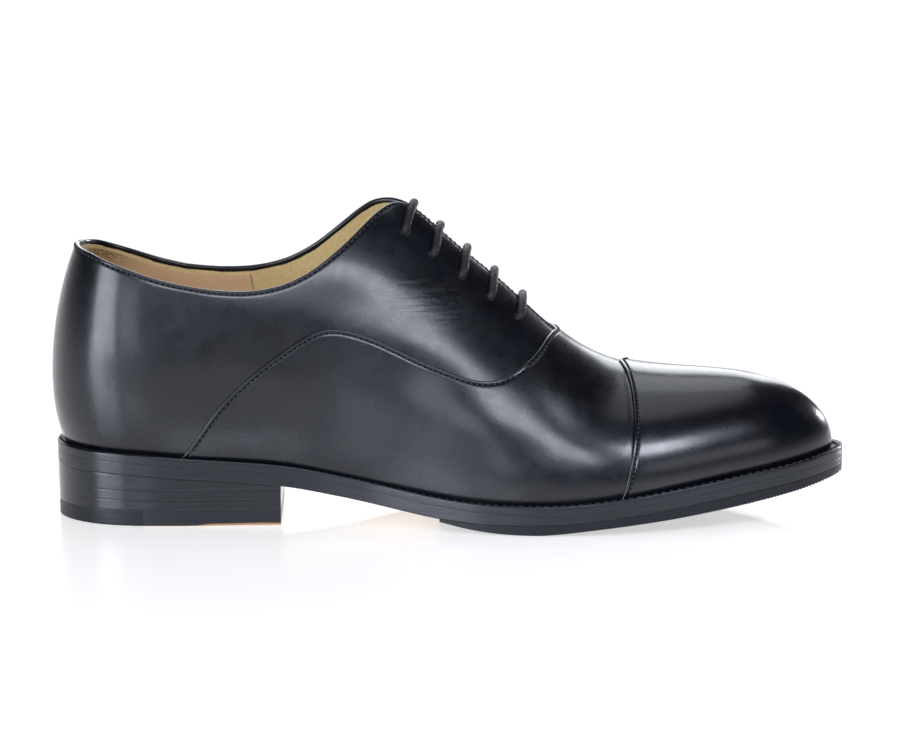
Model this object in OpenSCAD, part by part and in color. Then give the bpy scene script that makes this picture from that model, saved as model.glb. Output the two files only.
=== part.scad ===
// Leather oxford shoe for the right foot: a Goodyear-welted bottom with a stacked heel,
// a closed-lacing upper with a straight toe cap, and one round lace in five straight bars.
//
// Inside this file a place is [s, y, z]: s is measured forward from the back of the heel,
// y is 0 on the shoe's centre plane and negative on the outer (lateral) side, z is up from
// the ground. Every node is then moved so that its origin is the centre of the heel's
// resting face.

/* [Fit] */
// Overall length over the sole
shoe_length = 300; // [280:1:320]

/* [Upper] */
// Thickness of the upper leather
leather_t = 1.2; // [1.0:0.1:1.3]
// Thickness of the upper leather where it is skived for a lap seam
skived_t = 0.8; // [0.6:0.1:0.9]
// Thickness of the lining leather
lining_t = 0.9; // [0.7:0.1:1.0]
// Thickness of the toe puff and of the heel counter
stiffener_t = 0.9; // [0.7:0.1:1.0]
// How far the quarters run under the vamp, and the vamp under the toe cap
lap = 8; // [6:0.5:9]

/* [Bottom] */
// Height of the welt, from its seam face to its top
welt_t = 3.2; // [2.6:0.1:3.4]
// Thickness of the leather outsole
outsole_t = 4.8; // [4.4:0.1:5.0]
// Thickness of the insole
insole_t = 3; // [2.5:0.1:3.2]
// Height of the top piece, the layer of the heel that meets the ground
top_piece_t = 6; // [5:0.5:7]
// Height of one leather heel lift
lift_t = 3.8; // [3:0.1:4]

/* [Lacing] */
// Diameter of the round lace
lace_d = 2.8; // [2.4:0.1:3]
// Inner radius of an eyelet
eyelet_r = 1.7; // [1.6:0.05:1.9]

/* [Hidden] */

black_leather = [0.07, 0.07, 0.09];
black_edge = [0.05, 0.05, 0.06];
black_rubber = [0.09, 0.09, 0.1];
tan_leather = [0.72, 0.55, 0.36];
lining_leather = [0.85, 0.72, 0.45];
cork_colour = [0.62, 0.45, 0.28];
canvas_colour = [0.85, 0.82, 0.74];
steel_colour = [0.6, 0.62, 0.65];
fibre_colour = [0.8, 0.78, 0.72];
lace_colour = [0.06, 0.06, 0.07];

design_length = 300;
fit = shoe_length / design_length;
heel_centre = 43.5;
heel_length = 86;
glue = 0.25;
free_gap = 0.35;
touch = 0.15;

// ---- Curves -----------------------------------------------------------------------

// A smooth curve through the points [x, y] of a table, at x.
function span(t, x, i = 0) = i >= len(t) - 2 || x <= t[i + 1][0] ? i : span(t, x, i + 1);
function slope(t, i) =
    let (a = max(i - 1, 0), b = min(i + 1, len(t) - 1)) (t[b][1] - t[a][1]) / (t[b][0] - t[a][0]);
function curve(t, x) =
    let (
        i = span(t, x),
        w = t[i + 1][0] - t[i][0],
        f = (min(max(x, t[0][0]), t[len(t) - 1][0]) - t[i][0]) / w,
        g = 1 - f
    )
    t[i][1] * (1 + 2 * f) * g * g + t[i + 1][1] * (1 + 2 * g) * f * f
    + w * f * g * (slope(t, i) * g - slope(t, i + 1) * f);

// 0 below a, 1 above b, and smooth between them.
function step(a, b, x) = let (f = min(max((x - a) / (b - a), 0), 1)) f * f * (3 - 2 * f);

// Top edge of the welt, seen from the side: [s, z].
WELT_TOP = [
    [-6, 28.8], [0, 28.5], [25, 27.6], [50, 26], [86, 22.9], [108, 19.2], [131, 15],
    [145, 12.8], [160, 11.4], [175, 10.9], [190, 11.1], [204, 12.1], [220, 14], [245, 17.6],
    [262, 20.2], [278, 22.6], [293, 25], [306, 27]
];
// Underside of the half sole, seen from the side: [s, z].
TREAD = [
    [146, 3.5], [157, 1.5], [167, 0.4],
    [176, 0], [184, 0], [192, 0.6], [204, 1.9], [219, 3.5], [245, 6.4], [262, 8.9],
    [278, 11.7], [293, 14.6], [306, 17.2]
];
// Ridge of the upper on the centre plane: [s, z].
CREST = [
    [110, 127], [126, 123.2], [137, 116], [148, 106.8], [160, 97.4], [171, 87.3], [184, 75.2],
    [195, 66.3], [206, 60.2], [219, 56.9], [240, 55.4], [255, 54.6], [267, 52.6], [275, 50.2]
];

// ---- Surface of the upper ---------------------------------------------------------

// One row per rib: foot [s, lateral y, medial y], top [s, y, z] (z -1: on the ridge),
// then how far the rib leans out and up at its foot, and out and down at its top.
RIBS = [
    [2.5, 0, 0, 9.5, 0, 108, 8, 19, 11, 24],
    [7.5, 17, 17, 13, 13, 108, 7.5, 19, 10, 24],
    [22, 28, 28, 24, 21.5, 108, 6.5, 19, 8, 25],
    [44, 30.5, 29.5, 44, 23.5, 107, 6, 20, 6.5, 25],
    [68, 29, 26.5, 64, 22.5, 108, 6.5, 23, 8, 24],
    [92, 28, 23.5, 84, 18, 112, 7.5, 26, 12, 20],
    [117, 30.5, 24, 105, 10, 120, 6, 30, 17, 14],
    [142, 37, 31, 126, 2.5, -1, 4, 31, 19, 8],
    [167, 44, 40, 148, 0, -1, 2.5, 30, 20, 0],
    [192, 46.5, 45.5, 171, 0, -1, 2, 26, 23, 0],
    [216, 44.5, 45, 195, 0, -1, 2, 22, 27, 0],
    [239, 38.5, 39.5, 219, 0, -1, 1.5, 18, 27, 0],
    [260, 31, 32, 240, 0, -1, 1.2, 16, 25, 0],
    [277, 23.5, 24, 255, 0, -1, 1, 14.5, 22, 0],
    [289.5, 13.5, 13.5, 263.5, 0, -1, 0.8, 13.5, 19, 0],
    [296, 0, 0, 267, 0, -1, 0.5, 13, 17, 0]
];
last_rib = len(RIBS) - 1;
around = 2 * last_rib;

// The four control points of a rib; side is -1 for lateral and 1 for medial.
function rib_net(r, side) =
    let (
        on_ridge = r[5] < 0,
        foot = [r[0], side * (side < 0 ? r[1] : r[2]), curve(WELT_TOP, r[0])],
        top = [r[3], side * r[4], on_ridge ? curve(CREST, r[3]) : r[5]],
        away = [foot[0] - top[0], foot[1] - top[1], 0],
        out = away / norm(away),
        fall = on_ridge ? (curve(CREST, r[3] + 0.5) - curve(CREST, r[3] - 0.5)) * out[0] : 0
    )
    [
        foot,
        foot + r[6] * out + [0, 0, r[7]],
        top + r[8] * out + [0, 0, fall * r[8] - r[9]],
        top
    ];

// The ribs in a closed loop: heel back, lateral side, toe tip, medial side.
NET = concat(
    [for (r = RIBS) rib_net(r, -1)],
    [for (i = [last_rib - 1:-1:1]) rib_net(RIBS[i], 1)]
);
function wrap(i) = (i % around + around) % around;
// Second differences of the net, weighted so that the surface bends smoothly.
reach = 8;
ease = sqrt(3) - 2;
function total(list, i = 0) = i == len(list) - 1 ? list[i] : list[i] + total(list, i + 1);
BEND = [
    for (i = [0:around - 1])
        [
            for (k = [0:3])
                total([
                    for (d = [-reach:reach])
                        (NET[wrap(i + d - 1)][k] - 2 * NET[wrap(i + d)][k] + NET[wrap(i + d + 1)][k])
                        * 3 * pow(ease, abs(d)) / sqrt(3)
                ])
        ]
];
function rail(k, w) =
    let (i = floor(w), f = w - i, g = 1 - f, a = wrap(i), b = wrap(i + 1))
    g * NET[a][k] + f * NET[b][k] + ((g * g * g - g) * BEND[a][k] + (f * f * f - f) * BEND[b][k]) / 6;

// A point of the upper's outer face: w runs round the loop of ribs and v up a rib.
function skin(w, v) =
    let (g = 1 - v)
    g * g * g * rail(0, w) + 3 * g * g * v * rail(1, w) + 3 * g * v * v * rail(2, w)
    + v * v * v * rail(3, w);
function outward(w, v) =
    let (
        u = min(max(v, 0.01), 0.985),
        along = skin(w + 0.01, u) - skin(w - 0.01, u),
        up = skin(w, u + 0.01) - skin(w, u - 0.01),
        n = cross(along, up)
    )
    n / norm(n);
// Whether a place lies on the centre plane: on the ridge, or on the toe's middle rib.
function on_plane(w, v) = v > 0.9999 && up_rib(w) > 7 || up_rib(w) > last_rib - 0.0001;
// The same point, a depth below the face. On the centre plane it stays on that plane.
function under(w, v, depth) =
    on_plane(w, v)
        ? let (r = round(up_rib(w) * 10000) / 10000, n = outward(r, v), p = skin(r, v))
            [p[0], 0, p[2]] - depth * [n[0], 0, n[2]] / norm([n[0], 0, n[2]])
        : skin(w, v) - depth * outward(w, v);

// Distance along the loop from the heel back, the same on both sides.
function up_rib(w) = let (p = (w % around + around) % around) min(p, around - p);

// ---- Lines on the upper -----------------------------------------------------------

// Rear edge of the vamp, as [rib, height up the rib]; it meets the ridge at the throat.
SEAM = [
    [3.2, 0], [3.45, 0.135], [3.75, 0.275], [4.2, 0.4], [4.7, 0.477], [5.15, 0.524],
    [5.45, 0.532], [6, 0.485], [6.9, 0.41], [7.5, 0.393], [7.85, 0.39], [8.15, 0.406],
    [8.65, 0.495], [9, 0.607], [9.4, 0.79], [9.8, 1]
];
throat = 9.8;
seam_start = 3.2;
function seam(r) = r <= seam_start ? 0 : r >= throat ? 1 : curve(SEAM, r);

// Top edge of the quarters, and the inner side's small rise above it.
TOPLINE = [
    [0, 0.95], [0.5, 0.943], [1.3, 0.925], [1.8, 0.898], [2.25, 0.87], [2.8, 0.832],
    [3.3, 0.802], [3.8, 0.773], [4.3, 0.75], [4.8, 0.739], [5.15, 0.741], [5.5, 0.753],
    [5.9, 0.781], [6.2, 0.81], [6.5, 0.848], [6.85, 0.903], [7.15, 0.955], [7.4, 0.987],
    [10.5, 0.987]
];
INNER_RISE = [[3.2, 0], [4.5, 0.028], [5.7, 0.05], [6.5, 0.045], [7.2, 0], [10, 0]];
function topline(w) =
    let (r = up_rib(w), inner = (w % around + around) % around > last_rib)
    curve(TOPLINE, r) + (inner ? curve(INNER_RISE, r) : 0);

// Rear edge of the toe cap.
cap_low = 9.95;
cap_high = 10.8;
function cap_line(v) = cap_low + (cap_high - cap_low) * v;

// Lengths on the skin near the seams, in millimetres for one rib step and one whole rib.
rib_pitch = 22;
rib_rise = 95;
SEAM_POINTS = [for (r = [seam_start:0.15:throat]) [r * rib_pitch, seam(r) * rib_rise]];
function from_seam(r, v) =
    min([for (p = SEAM_POINTS) norm([r * rib_pitch, v * rib_rise] - p)]);
function from_cap(r, v) = (r - cap_line(v)) * rib_pitch;

// ---- Shells -----------------------------------------------------------------------

// A grid of places [w, v]: the list a runs along the loop with w growing, b runs upward.
function places(a, b, at) = [for (i = a) [for (j = b) at(i, j)]];
// The same grid on the inner side.
function turned(grid) =
    [for (i = [len(grid) - 1:-1:0]) [for (p = grid[i]) [around - p[0], p[1]]]];
function on_side(side, grid) = side == "lateral" ? grid : turned(grid);

function grid_points(grid, outer, inner) = [
    for (layer = [0, 1])
        for (column = grid)
            for (p = column)
                under(p[0], p[1], layer == 0 ? outer(p[0], p[1]) : inner(p[0], p[1]))
];
// Faces of one closed grid whose points start at index base. Where its rim lies on the
// centre plane there is no wall, because the other side's grid joins it there.
function grid_faces(grid, base) =
    let (
        na = len(grid),
        nb = len(grid[0]),
        half = na * nb,
        rim = concat(
            [for (i = [0:na - 2]) [i, 0]],
            [for (j = [0:nb - 2]) [na - 1, j]],
            [for (i = [na - 1:-1:1]) [i, nb - 1]],
            [for (j = [nb - 1:-1:1]) [0, j]]
        )
    )
    [
        for (i = [0:na - 2])
            for (j = [0:nb - 2])
                let (p = base + i * nb + j, q = p + nb)
                each [
                    [p, q + 1, q],
                    [p, p + 1, q + 1],
                    [half + p, half + q, half + q + 1],
                    [half + p, half + q + 1, half + p + 1]
                ],
        for (k = [0:len(rim) - 1])
            let (
                c = rim[k],
                d = rim[(k + 1) % len(rim)],
                from = grid[c[0]][c[1]],
                to = grid[d[0]][d[1]],
                p = base + c[0] * nb + c[1],
                q = base + d[0] * nb + d[1]
            )
            if (!(on_plane(from[0], from[1]) && on_plane(to[0], to[1])))
                each [[p, q, half + q], [p, half + q, half + p]]
    ];

// Closed shell over one or more grids; outer and inner give the depths of its two faces.
module shell(grids, outer, inner) {
    points = [for (grid = grids) grid_points(grid, outer, inner)];
    starts = [for (i = [0:len(grids) - 1]) i == 0 ? 0 : len(points[0])];
    polyhedron(
        [for (list = points) each list],
        [for (i = [0:len(grids) - 1]) each grid_faces(grids[i], starts[i])],
        convexity = 10
    );
}
// A shell that runs over the centre plane from one side to the other.
module bridged_shell(grid, outer, inner) shell([grid, turned(grid)], outer, inner);

function flat(depth) = function (w, v) depth;
function steps(n) = [for (i = [0:n]) i / n];

// Where the pieces start above the upper's foot, as heights up the rib.
foot_gap_v = 0.004;
toe_gap_v = 0.012;
lining_foot_v = 0.03;

// ---- Upper ------------------------------------------------------------------------

vamp_columns = [
    3.2, 3.45, 3.75, 4.2, 4.7, 5.15, 5.45, 5.75, 6.1, 6.5, 6.9, 7.3, 7.6, 7.9, 8.15, 8.4,
    8.65, 8.85, 9, 9.2, 9.4, 9.6, 9.8, 10, 10.2, 10.5, 10.8, 11.15
];
vamp_rows = [0, 0.15, 0.32, 0.5, 0.66, 0.8, 0.9, 1];
vamp_corner_v = 0.012;
// The vamp's foot is drawn back along the loop, so that its columns lean with the seam.
vamp_lean = 0.112;
vamp_at = function (a, b)
    let (v = foot_gap_v + (max(seam(a), vamp_corner_v) - foot_gap_v) * b)
    [a - (a - seam_start) * vamp_lean * (1 - b), v];
// Beyond the lap the upper comes back down onto the last over this distance.
lap_edge = 0.6;
lap_fade = 6;
function vamp_lift(r, v) = 1 - step(lap + lap_edge, lap + lap_fade, from_seam(r, v));
vamp_outer = function (w, v) -(glue + skived_t) * vamp_lift(up_rib(w), v);
vamp_inner = function (w, v)
    let (f = vamp_lift(up_rib(w), v)) -glue * f + leather_t * (1 - f);

module vamp() {
    color(black_leather)
        placed()
            bridged_shell(places(vamp_columns, vamp_rows, vamp_at), vamp_outer, vamp_inner);
}

cap_columns = [0, 0.085, 0.14, 0.3, 0.46, 0.6, 0.72, 0.82, 0.9, 0.96, 1];
cap_rows = [0, 0.08, 0.18, 0.3, 0.42, 0.54, 0.66, 0.78, 0.89, 1];
cap_at = function (a, b)
    let (v = toe_gap_v + (1 - toe_gap_v) * b) [cap_line(v) + (last_rib - cap_line(v)) * a, v];
function cap_lift(r, v) = 1 - step(lap + lap_edge, lap + lap_fade, from_cap(r, v));
cap_outer = function (w, v) -(free_gap + skived_t) * cap_lift(up_rib(w), v);
cap_inner = function (w, v)
    let (f = cap_lift(up_rib(w), v)) -free_gap * f + leather_t * (1 - f);
module toe_cap() {
    color(black_leather)
        placed()
            bridged_shell(places(cap_columns, cap_rows, cap_at), cap_outer, cap_inner);
}

quarter_columns = [
    0.02, 0.5, 1, 1.4, 1.8, 2.25, 2.8, 3.3, 3.6, 3.9, 4.3, 4.8, 5.15, 5.5, 5.9, 6.2, 6.5,
    6.85, 7.15, 7.4, 7.8, 8.2, 8.6, 9, 9.4, 9.7, 9.98
];
quarter_rows = [0, 0.14, 0.3, 0.48, 0.66, 0.84, 1];
// The lap below the vamp's edge, in rib steps along the shoe and as a height up the rib.
lap_behind = 0.2;
lap_ahead = lap / 30;
lap_below = lap / 130;
// Lower edge of the quarter, which runs on under the vamp.
function quarter_low(r) =
    max(
        min(seam(r - lap_ahead), seam(r), seam(r + lap_behind)) - lap_below * step(3, 3.6, r),
        foot_gap_v
    );
function top_edge(side, a) = topline(side == "medial" ? around - a : a);
function quarter_at(side) =
    function (a, b) let (low = quarter_low(a)) [a, low + (top_edge(side, a) - low) * b];
module quarter(side) {
    color(black_leather)
        placed()
            difference() {
                shell([on_side(side, places(quarter_columns, quarter_rows, quarter_at(side)))],
                    flat(0), flat(leather_t));
                eyelet_holes(side);
            }
}

// Depth of the lining's outer face: deeper where a stiffener or stay lies in front of it.
lining_depth = leather_t + glue + touch;
stay_t = 0.5;
lining_outer = function (w, v)
    let (
        r = up_rib(w),
        counter = (1 - step(4.25, 4.75, r)) * (1 - step(0.62, 0.7, v)),
        stay = step(6.9, 7.2, r) * step(0.63, 0.68, v) * (1 - step(9.7, 9.9, r)),
        puff = step(-6, 6, from_cap(r, v))
    )
    lining_depth + (stiffener_t + glue) * counter + (stay_t + glue) * stay
    + (stiffener_t + free_gap) * puff;
lining_inner = function (w, v) lining_outer(w, v) + lining_t;

function between(low, high) = function (a, b) [a, low + (high - low) * b];
stay_columns = [7.3, 7.7, 8.1, 8.5, 8.9, 9.3, 9.6];
stay_from_v = 0.7;
stay_to_v = 0.975;
module facing_stay(side) {
    color(canvas_colour)
        placed()
            difference() {
                shell(
                    [on_side(side, places(stay_columns, steps(3), between(stay_from_v, stay_to_v)))],
                    flat(lining_depth), flat(lining_depth + stay_t)
                );
                eyelet_holes(side);
            }
}

lining_columns = [
    0.03, 0.5, 1, 1.5, 2.1, 2.8, 3.3, 3.75, 4.2, 4.7, 5.15, 5.5, 6.1, 6.5, 6.9, 7.2, 7.5,
    7.85, 8.15, 8.65, 9, 9.4, 9.72
];
lining_rows = [0, 0.2, 0.4, 0.58, 0.7, 0.84, 1];
// The quarter lining stays this far, as a height up the rib, from its seam and top edge.
lining_inset_v = 0.012;
function quarter_lining_at(side) =
    function (a, b)
        let (
            low = max(seam(a) + lining_inset_v * step(3, 3.4, a), lining_foot_v),
            high = top_edge(side, a) - lining_inset_v
        )
        [a, low + (high - low) * b];
module quarter_lining(side) {
    color(lining_leather)
        placed()
            difference() {
                shell([on_side(side, places(lining_columns, lining_rows, quarter_lining_at(side)))],
                    lining_outer, lining_inner);
                eyelet_holes(side);
            }
}

vamp_lining_columns = [
    3.3, 3.75, 4.2, 4.7, 5.15, 5.5, 6.1, 6.5, 6.9, 7.2, 7.5, 7.85, 8.15, 8.65, 9, 9.4, 9.8,
    10.2, 10.6, 11, 11.4, 12.2, 13, 13.8, 14.5, 15
];
vamp_lining_rows = [0, 0.2, 0.42, 0.64, 0.84, 1];
vamp_lining_corner_v = 0.05;
vamp_lining_at = function (a, b)
    let (
        v = lining_foot_v + (max(seam(a), vamp_lining_corner_v) - lining_foot_v) * b,
        lean = vamp_lean * (1 - step(cap_high, last_rib, a)) * (1 - b)
    )
    [a - (a - seam_start) * lean, v];
module vamp_lining() {
    color(lining_leather)
        placed()
            bridged_shell(
                places(vamp_lining_columns, vamp_lining_rows, vamp_lining_at),
                lining_outer, lining_inner
            );
}

puff_columns = [0, 0.15, 0.32, 0.5, 0.68, 0.84, 0.94, 1];
puff_rows = [0, 0.15, 0.32, 0.5, 0.68, 0.85, 1];
puff_depth = leather_t + touch;
puff_behind = 0.6;
puff_at = function (a, b)
    let (v = lining_foot_v + (1 - lining_foot_v) * b, start = cap_line(v) + puff_behind)
    [start + (last_rib - start) * a, v];
module toe_puff() {
    color(fibre_colour)
        placed()
            bridged_shell(
                places(puff_columns, puff_rows, puff_at),
                flat(puff_depth), flat(puff_depth + stiffener_t)
            );
}

counter_columns = [-4.2, -3.5, -2.8, -2.1, -1.5, -1, -0.5, 0, 0.5, 1, 1.5, 2.1, 2.8, 3.5, 4.2];
counter_top_v = 0.6;
module heel_counter() {
    color(fibre_colour)
        placed()
            shell(
                [places(counter_columns, steps(4), between(lining_foot_v, counter_top_v))],
                flat(lining_depth), flat(lining_depth + stiffener_t)
            );
}

heel_lining_t = 0.7;
heel_lining_columns = [
    -4.25, -3.5, -2.8, -2.1, -1.5, -1, -0.5, 0, 0.5, 1, 1.5, 2.1, 2.8, 3.5, 4.25
];
heel_lining_rows = [0, 0.22, 0.44, 0.62, 0.72, 0.86, 1];
heel_lining_foot_v = 0.1;
heel_lining_inset_v = 0.035;
heel_lining_at = function (a, b)
    [a, heel_lining_foot_v + (topline(a) - heel_lining_inset_v - heel_lining_foot_v) * b];
module heel_lining() {
    color(tan_leather)
        placed()
            shell(
                [places(heel_lining_columns, heel_lining_rows, heel_lining_at)],
                function (w, v) lining_inner(w, v) + free_gap,
                function (w, v) lining_inner(w, v) + free_gap + heel_lining_t
            );
}

// ---- Tongue -----------------------------------------------------------------------

tongue_columns = [7.3, 7.65, 8.05, 8.5, 8.95, 9.35, 9.7, 10];
tongue_back = tongue_columns[0];
tongue_low_v = 0.68;
// The tongue lies just under the vamp lining at the throat and below the lace further up.
throat_depth = 4.5;
lace_depth = 7.2;
function tongue_depth(w) =
    throat_depth + (lace_depth - throat_depth) * (1 - step(8.95, 9.75, up_rib(w)));
// Its rib lines lean forward toward the ridge, so that its front edge runs straight across.
tongue_lean = 1 / 3;
function tongue_at(low) =
    function (a, b)
        let (v = low + (1 - low) * b) [a - (1 - v) * tongue_lean * (a - tongue_back), v];
module tongue_layer(lift, thick, low) {
    bridged_shell(
        places(tongue_columns, steps(4), tongue_at(low)),
        function (w, v) tongue_depth(w) + lift,
        function (w, v) tongue_depth(w) + lift + thick
    );
}
module tongue() {
    color(black_leather)
        placed()
            tongue_layer(0, leather_t, tongue_low_v);
}
module tongue_lining() {
    color(lining_leather)
        placed()
            tongue_layer(leather_t + glue, lining_t, tongue_low_v + 0.01);
}

// ---- Eyelets ----------------------------------------------------------------------

// Places of the five eyelets on one side: [rib, height up the rib], top one first.
EYELETS = [[7.1, 0.8], [7.55, 0.762], [8, 0.75], [8.45, 0.744], [8.9, 0.75]];
eyelet_wall = 0.35;
eyelet_flange_r = 2.9;
eyelet_length = 4.4;
eyelet_proud = 0.15;
flange_t = 0.3;
hole_slack = 0.1;
hole_depth = 6;
hole_length = 9;
// Puts its children at an eyelet, with +Z pointing out of the shoe.
module at_eyelet(e, side) {
    w = side == "lateral" ? e[0] : around - e[0];
    n = outward(w, e[1]);
    translate(skin(w, e[1]))
        rotate([0, acos(n[2]), atan2(n[1], n[0])])
            children();
}
module eyelet_holes(side) {
    for (e = EYELETS)
        at_eyelet(e, side)
            translate([0, 0, -hole_depth])
                cylinder(r = eyelet_r + eyelet_wall + hole_slack, h = hole_length, $fn = 24);
}
module eyelet() {
    translate([0, 0, eyelet_proud - eyelet_length])
        rotate_extrude($fn = 32)
            polygon([
                [eyelet_r, 0],
                [eyelet_flange_r, 0],
                [eyelet_flange_r, flange_t],
                [eyelet_r + eyelet_wall, flange_t],
                [eyelet_r + eyelet_wall, eyelet_length],
                [eyelet_r, eyelet_length]
            ]);
}
module eyelets(side) {
    color(black_edge)
        placed()
            for (e = EYELETS)
                at_eyelet(e, side)
                    eyelet();
}

// ---- Lace -------------------------------------------------------------------------

// The laced stretch, as [rib, height up the rib, lift above the skin]. A negative rib is
// on the inner side. It starts inside the top outer eyelet and ends inside the second
// inner one: five straight bars outside, with the runs between them behind the facings.
LACE_ROUTE = [
    [7.1, 0.8, -4.8], [7.1, 0.8, 0.9], [7.13, 0.82, 1.9], [7.28, 0.9, 1.9], [7.5, 1, 1.9],
    [-7.28, 0.9, 1.9], [-7.13, 0.82, 1.9], [-7.1, 0.8, 0.9], [-7.1, 0.8, -4],
    [-7.2, 0.79, -5.2], [-7.55, 0.785, -5.4], [-7.9, 0.76, -5.2], [-8, 0.75, -4],
    [-8, 0.75, 0.9], [-8.03, 0.77, 1.9], [-8.18, 0.88, 1.9], [8.4, 1, 1.9],
    [8.18, 0.88, 1.9], [8.03, 0.77, 1.9], [8, 0.75, 0.9], [8, 0.75, -4],
    [8.1, 0.72, -5.2], [8.45, 0.69, -5.4], [8.8, 0.72, -5.2], [8.9, 0.75, -4],
    [8.9, 0.75, 0.9], [8.93, 0.77, 1.9], [9.08, 0.88, 1.9], [9.3, 1, 1.9],
    [-9.08, 0.88, 1.9], [-8.93, 0.77, 1.9], [-8.9, 0.75, 0.9], [-8.9, 0.75, -4],
    [-8.8, 0.748, -5.2], [-8.55, 0.746, -5.2], [-8.45, 0.744, -4], [-8.45, 0.744, 0.9],
    [-8.48, 0.764, 1.9], [-8.63, 0.88, 1.9], [8.85, 1, 1.9], [8.63, 0.88, 1.9],
    [8.48, 0.764, 1.9], [8.45, 0.744, 0.9], [8.45, 0.744, -4], [8.35, 0.765, -5.2],
    [8, 0.79, -5.4], [7.65, 0.78, -5.2], [7.55, 0.762, -4], [7.55, 0.762, 0.9],
    [7.58, 0.782, 1.9], [7.73, 0.89, 1.9], [7.95, 1, 1.9], [-7.73, 0.89, 1.9],
    [-7.58, 0.782, 1.9], [-7.55, 0.762, 0.9], [-7.55, 0.762, -4.8]
];
// The free ends hang down inside the quarters and lie along the edge of the insole.
LACE_END_LATERAL = [
    [131.5, -8.8, 107], [132.8, -11.2, 102], [134, -15, 95], [134, -19, 85],
    [133.5, -23.5, 72], [133.5, -26.5, 57], [134, -28.3, 42], [137, -28.7, 30],
    [144, -29, 21.5], [156, -30.8, 15.9], [172, -33.5, 14.5], [189, -35.5, 14.7],
    [206, -35, 16.1], [222, -32, 18.1], [238, -27.5, 20.5]
];
LACE_END_MEDIAL = [
    [142.5, 9.5, 98.5], [143.8, 12, 94], [143.7, 15, 88], [142.5, 18.5, 78],
    [141, 21, 66.5], [140, 22.8, 54], [140.5, 24, 42], [143.5, 24.3, 31],
    [151, 25.5, 21.5], [162, 28.3, 15.6], [176, 31.5, 14.5], [190, 34.5, 14.8],
    [206, 35.5, 16.1], [222, 33.5, 18.1], [238, 29.5, 20.5]
];

// A round tube of eight sides swept along a list of points.
tube_sides = 8;
function unit(v) = v / norm(v);
function tangent(points, i) =
    unit(points[min(i + 1, len(points) - 1)] - points[max(i - 1, 0)]);
function first_across(points) =
    let (t = tangent(points, 0)) unit(cross(t, abs(t[2]) < 0.9 ? [0, 0, 1] : [1, 0, 0]));
// Cross directions carried from ring to ring, so that the tube doesn't twist.
function carried(points, i, list) =
    i == len(points)
        ? list
        : let (t = tangent(points, i), c = list[i - 1], d = unit(c - (c * t) * t))
            carried(points, i + 1, concat(list, [d]));
module tube(points, d) {
    n = len(points);
    sides = carried(points, 1, [first_across(points)]);
    rings = [
        for (i = [0:n - 1])
            let (t = tangent(points, i), x = sides[i], y = cross(t, x))
            each [
                for (k = [0:tube_sides - 1])
                    let (angle = 360 * (k + 0.5) / tube_sides)
                    points[i] + d / 2 * (cos(angle) * x + sin(angle) * y)
            ]
    ];
    walls = [
        for (i = [0:n - 2])
            for (k = [0:tube_sides - 1])
                let (
                    p = i * tube_sides + k,
                    q = i * tube_sides + (k + 1) % tube_sides
                )
                each [[p, p + tube_sides, q], [q, p + tube_sides, q + tube_sides]]
    ];
    start = [for (k = [0:tube_sides - 1]) k];
    end = [for (k = [tube_sides - 1:-1:0]) (n - 1) * tube_sides + k];
    polyhedron(rings, concat(walls, [start, end]), convexity = 10);
}

function laced_point(p) = under(p[0] < 0 ? around + p[0] : p[0], p[1], -p[2]);
LACED = [for (p = LACE_ROUTE) laced_point(p)];
module lace_laced() {
    color(lace_colour)
        placed()
            tube(LACED, lace_d);
}
module lace_end(points) {
    color(lace_colour)
        placed()
            tube(points, lace_d);
}

aglet_length = 16;
aglet_d = 3;
// A closed tip on the last stretch of a free end.
module aglet(points) {
    n = len(points);
    t = unit(points[n - 1] - points[n - 2]);
    color(black_edge)
        placed()
            translate(points[n - 1])
                rotate([0, acos(t[2]), atan2(t[1], t[0])])
                    cylinder(d = aglet_d, h = aglet_length, $fn = 24);
}

// ---- Bottom -----------------------------------------------------------------------

// How far the bottom's edge stands out from the foot of the upper, round one side.
EDGE_OUT = [
    [0, 2.4], [1, 2.6], [3, 3], [5, 2.6], [6, 2.6], [7, 4], [8, 5.2], [10, 5.6],
    [13, 5.4], [14, 4.6], [15, 4]
];
outline_parts = 90;
// Plan outline of the bottom, moved out from the foot of the upper by a distance.
function foot_line(w, out) =
    let (p = skin(w, 0), d = skin(w + 0.02, 0) - skin(w - 0.02, 0), n = unit([d[1], -d[0]]))
    [p[0], p[1]] + out * n;
function plan(out) = [
    for (i = [0:outline_parts - 1]) let (w = around * i / outline_parts) foot_line(w, out)
];
function sole_edge(less) = [
    for (i = [0:outline_parts - 1])
        let (w = around * i / outline_parts) foot_line(w, curve(EDGE_OUT, up_rib(w)) - less)
];

// Limits of the bottom: everything in it lies between these heights and widths.
bottom_low = -5.4;
bottom_height = 60;
bottom_width = 160;
bottom_start = -2;
bottom_end = 305;
// A slab whose upper and lower faces follow two side profiles, between s = from and to.
slab_step = 9;
module slab(from, to, upper, lower) {
    first = slab_step * ceil((from + 1) / slab_step);
    stations = concat([from], [for (s = [first:slab_step:to - 1]) s], [to]);
    profile = concat(
        [for (s = stations) [s, lower(s)]],
        [for (i = [len(stations) - 1:-1:0]) [stations[i], upper(stations[i])]]
    );
    translate([0, bottom_width / 2, 0])
        rotate([90, 0, 0])
            linear_extrude(bottom_width)
                polygon(profile);
}
module column(outline) {
    translate([0, 0, bottom_low])
        linear_extrude(bottom_height)
            polygon(outline);
}

// The half sole starts at a small ledge under the waist.
ledge_start = 146;
ledge_end = 200;
ledge_rise = 1.2;
glue_line = 0.05;
outsole_less = 0.3;
half_sole_less = 0.1;
welt_top = function (s) curve(WELT_TOP, s);
welt_foot = function (s) welt_top(s) - welt_t;
tread = function (s) curve(TREAD, s);

// Underside of the leather outsole, which rises a little where the half sole starts.
leather_foot = function (s)
    welt_foot(s) - outsole_t + ledge_rise * step(ledge_start, ledge_end, s);
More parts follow.
